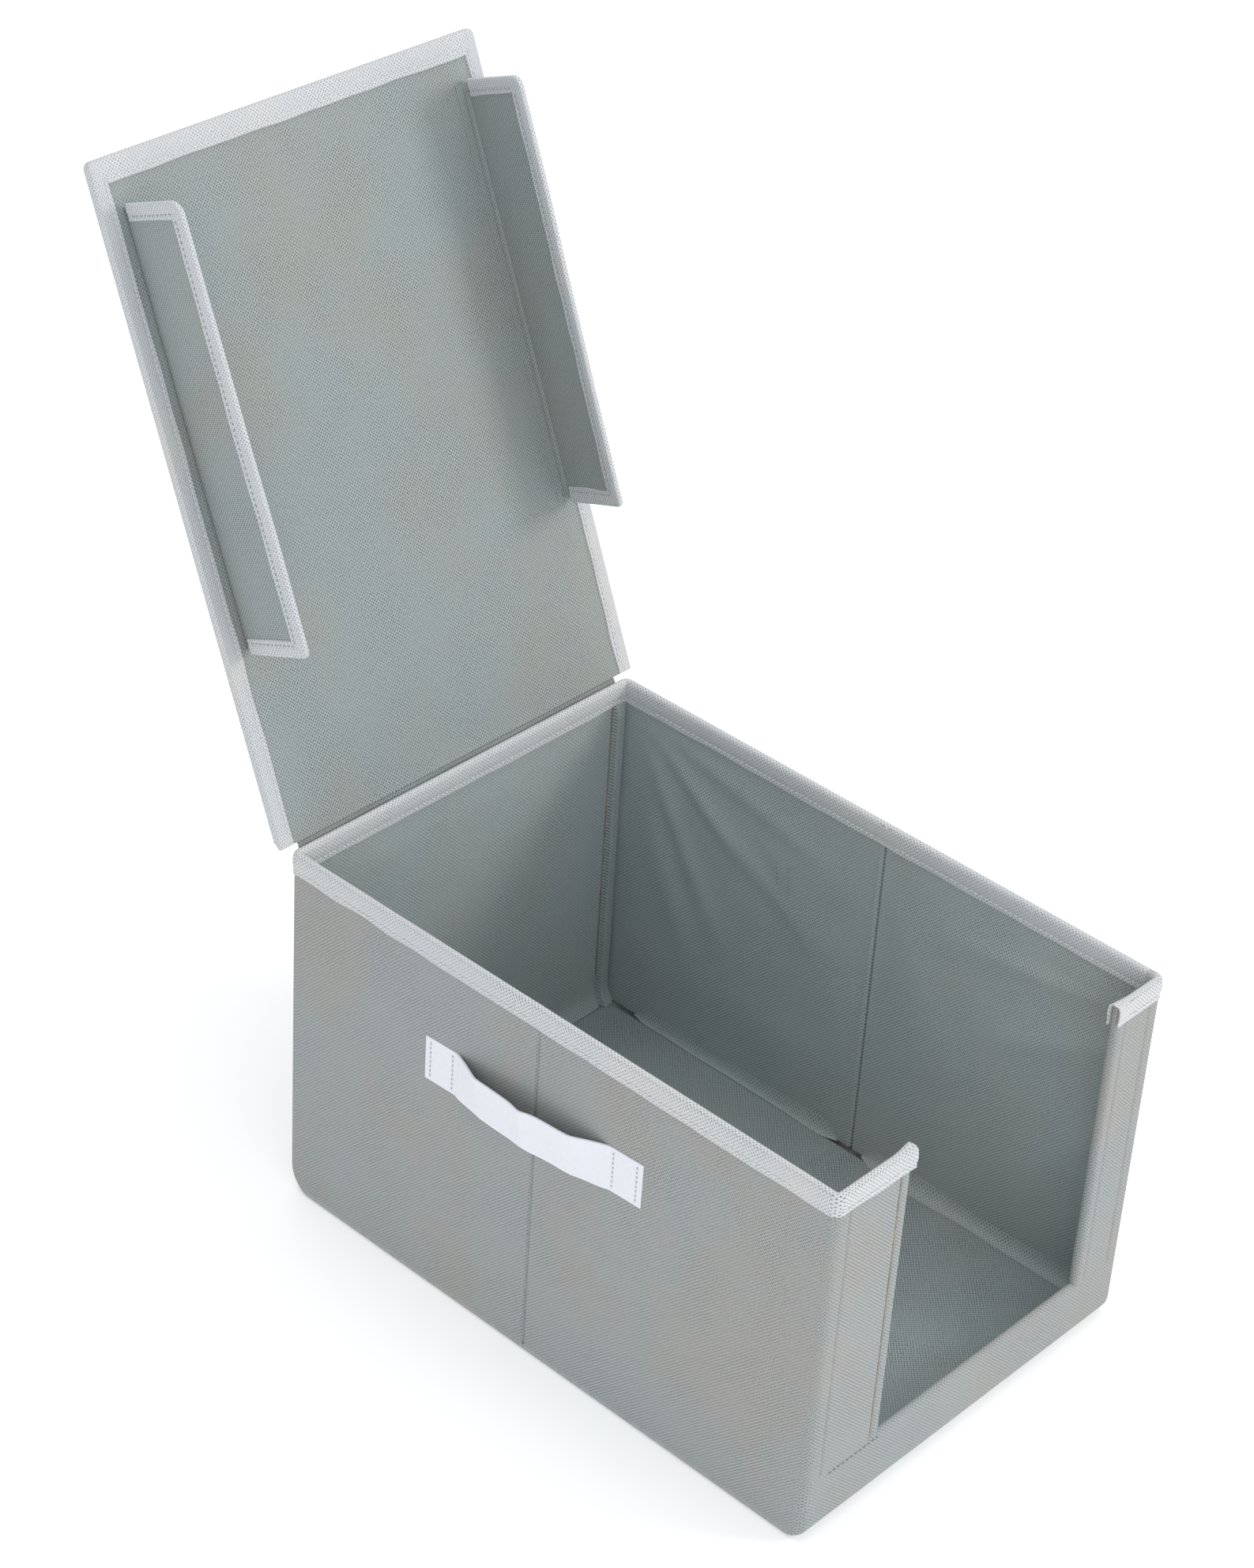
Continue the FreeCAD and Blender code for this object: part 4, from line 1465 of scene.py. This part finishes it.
def handle(side, name, splits):
    """A webbing handle in two halves: flat sewn ends, sloping stretches, and a raised middle with a kink.

    The path's offset from the wall is a smoothed table of knots, and the width is carried across it.
    """
    box_low, box_high = low(f"handle_{name}"), high(f"handle_{name}")
    rear, front = box_high[1], box_low[1]
    middle = (box_low[2] + box_high[2]) / 2
    width = box_high[2] - box_low[2]
    centre = (rear + front) / 2
    y = np.arange(rear, front - 0.01, -1.0)
    rear_y = [rear, rear - 23, rear - 27, rear - 46]
    front_y = [front + 46, front + 27, front + 23, front]
    knots_y = np.array([*rear_y, centre + 10, centre, centre - 10, *front_y])
    knots_o = [1.15, 1.15, 2.6, 7.4, 8.8, 10.4, 8.8, 7.6, 2.6, 1.15, 1.15]
    offset = smoothed(np.interp(-y, -knots_y, knots_o))
    step = np.gradient(offset, y)
    tilt = 1 / np.sqrt(1 + step**2)
    w = np.linspace(-0.5, 0.5, 15) * width
    free = rise(offset, 2, 8)[:, None]
    drop = 3.5 * (centre - y)[:, None] / 81 - 0.8 * free * (1 - ((y[:, None] - centre) / 60) ** 2)
    cup = free * (0.5 * (2 * w[None, :] / width) ** 2 + 0.25 * ripple(y[:, None], w[None, :], 26, 141))
    lean = free * 4.5 * (w[None, :] / width)
    pinch = 1 - 0.05 * hump(y, centre, 5)[:, None]
    for label, body, mask, pivot in (
        ("rear", splits[0][0], y >= splits[0][1] - 0.01, splits[0][2]),
        ("front", splits[1][0], y <= splits[0][1] + 0.01, splits[1][2]),
    ):
        sides = []
        for half in (0.6, -0.6):
            o = offset[mask][:, None] + half * tilt[mask][:, None] + (cup + lean)[mask]
            yy = y[mask][:, None] - half * step[mask][:, None] * tilt[mask][:, None] + 0 * w[None, :]
            z = middle + drop[mask] + w[None, :] * pinch[mask]
            sides.append(np.stack([side * (HALF_X - 0.35 + o), yy, z], -1))
        run = np.concatenate([[0], np.cumsum(np.hypot(np.diff(y), np.diff(offset)))])
        uv = crossed(run[mask], w)
        piece = shell(f"{name}_handle_{label}", *sides, uv, WEBBING, "handle_webbing")
        place(piece, body)
        if label == "rear":
            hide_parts(f"handle_{name}")
    for label, body, spots_y in (
        ("rear", splits[0][0][1], (rear - 4, rear - 21)),
        ("front", splits[1][0][1], (front + 4, front + 21)),
    ):
        rows = [((0, s, middle - 12.5), (0, s, middle + 12.5)) for s in spots_y]
        at, along = stitch_lines(*rows, pitch=2.8)
        at[:, 2] += 3.5 * (centre - at[:, 1]) / 81
        at[:, 0] = side * (HALF_X + 1.45)
        stitches(f"{name}_handle_{label}_stitches", at, along, (side, 0, 0), body, PALE_THREAD, 1.9, 0.6)


handle(
    -1,
    "left",
    [
        (("left_seam", "left_rear_wall"), 7.0, ((-HALF_X, 9, 0), (-HALF_X, 22, 0))),
        (("left_seam", "left_front_wall"), 7.0, ((-HALF_X, 5, 0), (-HALF_X, -8, 0))),
    ],
)
handle(
    1,
    "right",
    [
        (("right_seam", "right_rear_wall"), -7.0, ((HALF_X, -5, 0), (HALF_X, 8, 0))),
        (("right_seam", "right_front_wall"), -7.0, ((HALF_X, -9, 0), (HALF_X, -22, 0))),
    ],
)


# ---------------------------------------------------------------- floor, light and camera


def floor_material():
    """Pale matt floor with the faintest cloud in its tone."""
    made = bpy.data.materials.new("Pale floor")
    made.use_nodes = True
    tree = made.node_tree
    shader = tree.nodes["Principled BSDF"]
    shader.inputs["Roughness"].default_value = 0.95
    shader.inputs["Specular IOR Level"].default_value = 0.1
    cloud = node(tree, "ShaderNodeTexNoise", Scale=1.5, Detail=2.0)
    tree.links.new(node(tree, "ShaderNodeTexCoord").outputs["Object"], cloud.inputs["Vector"])
    colour = blend_colours(tree, cloud.outputs[0], grey(247, 248, 249), grey(250, 250, 251))
    tree.links.new(colour, shader.inputs["Base Color"])
    shader.inputs["Emission Color"].default_value = (1, 1, 1, 1)
    shader.inputs["Emission Strength"].default_value = 0.26
    return made


def floor_plane():
    """A flat grid far wider than the view."""
    x = np.linspace(-60000, 60000, 41)
    gx, gy = np.meshgrid(x, x, indexing="ij")
    flat = np.stack([gx, gy], -1)
    top = np.concatenate([flat, 0 * gx[..., None] - 0.2], -1)
    under = np.concatenate([flat, 0 * gx[..., None] - 20], -1)
    return shell("studio_floor", top, under, flat, floor_material(), "outer_fabric")


floor_plane()


def soft_light(name, at, target, size, power, tint):
    """A square area light that faces its target."""
    data = bpy.data.lights.new(name, "AREA")
    data.size = size
    data.energy = power
    data.color = tint
    lamp = bpy.data.objects.new(name, data)
    bpy.context.scene.collection.objects.link(lamp)
    away = (Vector(at) - Vector(target)).normalized()
    lamp.matrix_world = Matrix.Translation(at) @ away.to_track_quat("Z", "Y").to_matrix().to_4x4()


soft_light("key_light", (2.0, -2.4, 1.9), (0, 0, 0.25), 1.1, 34, (1.0, 0.99, 0.97))
soft_light("left_fill", (-1.9, -2.6, 1.5), (0, 0, 0.2), 2.2, 18, (0.97, 0.985, 1.0))
soft_light("top_fill", (0.2, 0.6, 3.4), (0, 0, 0.1), 2.6, 36, (1.0, 1.0, 1.0))

world = bpy.data.worlds.new("Studio")
bpy.context.scene.world = world
world.use_nodes = True
world.node_tree.nodes["Background"].inputs[0].default_value = (0.97, 0.985, 1.0, 1)
world.node_tree.nodes["Background"].inputs[1].default_value = 0.66
bpy.context.scene.view_settings.view_transform = "Standard"

AZIMUTH, ELEVATION, ROLL = np.radians([-48.811, 34.149, 3.889])
flat = np.cos(ELEVATION)
toward = np.array([np.sin(AZIMUTH) * flat, -np.cos(AZIMUTH) * flat, np.sin(ELEVATION)])
level = np.cross(-toward, [0, 0, 1])
level /= np.linalg.norm(level)
upright = np.cross(level, -toward)
across = np.cos(ROLL) * level + np.sin(ROLL) * upright
upward = -np.sin(ROLL) * level + np.cos(ROLL) * upright
eye = toward * 2.1925 - across * 0.0388 + upward * 0.2690
lens = bpy.data.cameras.new("Camera")
lens.sensor_fit = "HORIZONTAL"
lens.sensor_width = 36.0
lens.lens = 108.4
camera = bpy.data.objects.new("Camera", lens)
bpy.context.scene.collection.objects.link(camera)
turned = np.eye(4)
turned[:3, 0], turned[:3, 1], turned[:3, 2], turned[:3, 3] = across, upward, toward, eye
camera.matrix_world = Matrix(turned.tolist())
bpy.context.scene.camera = camera
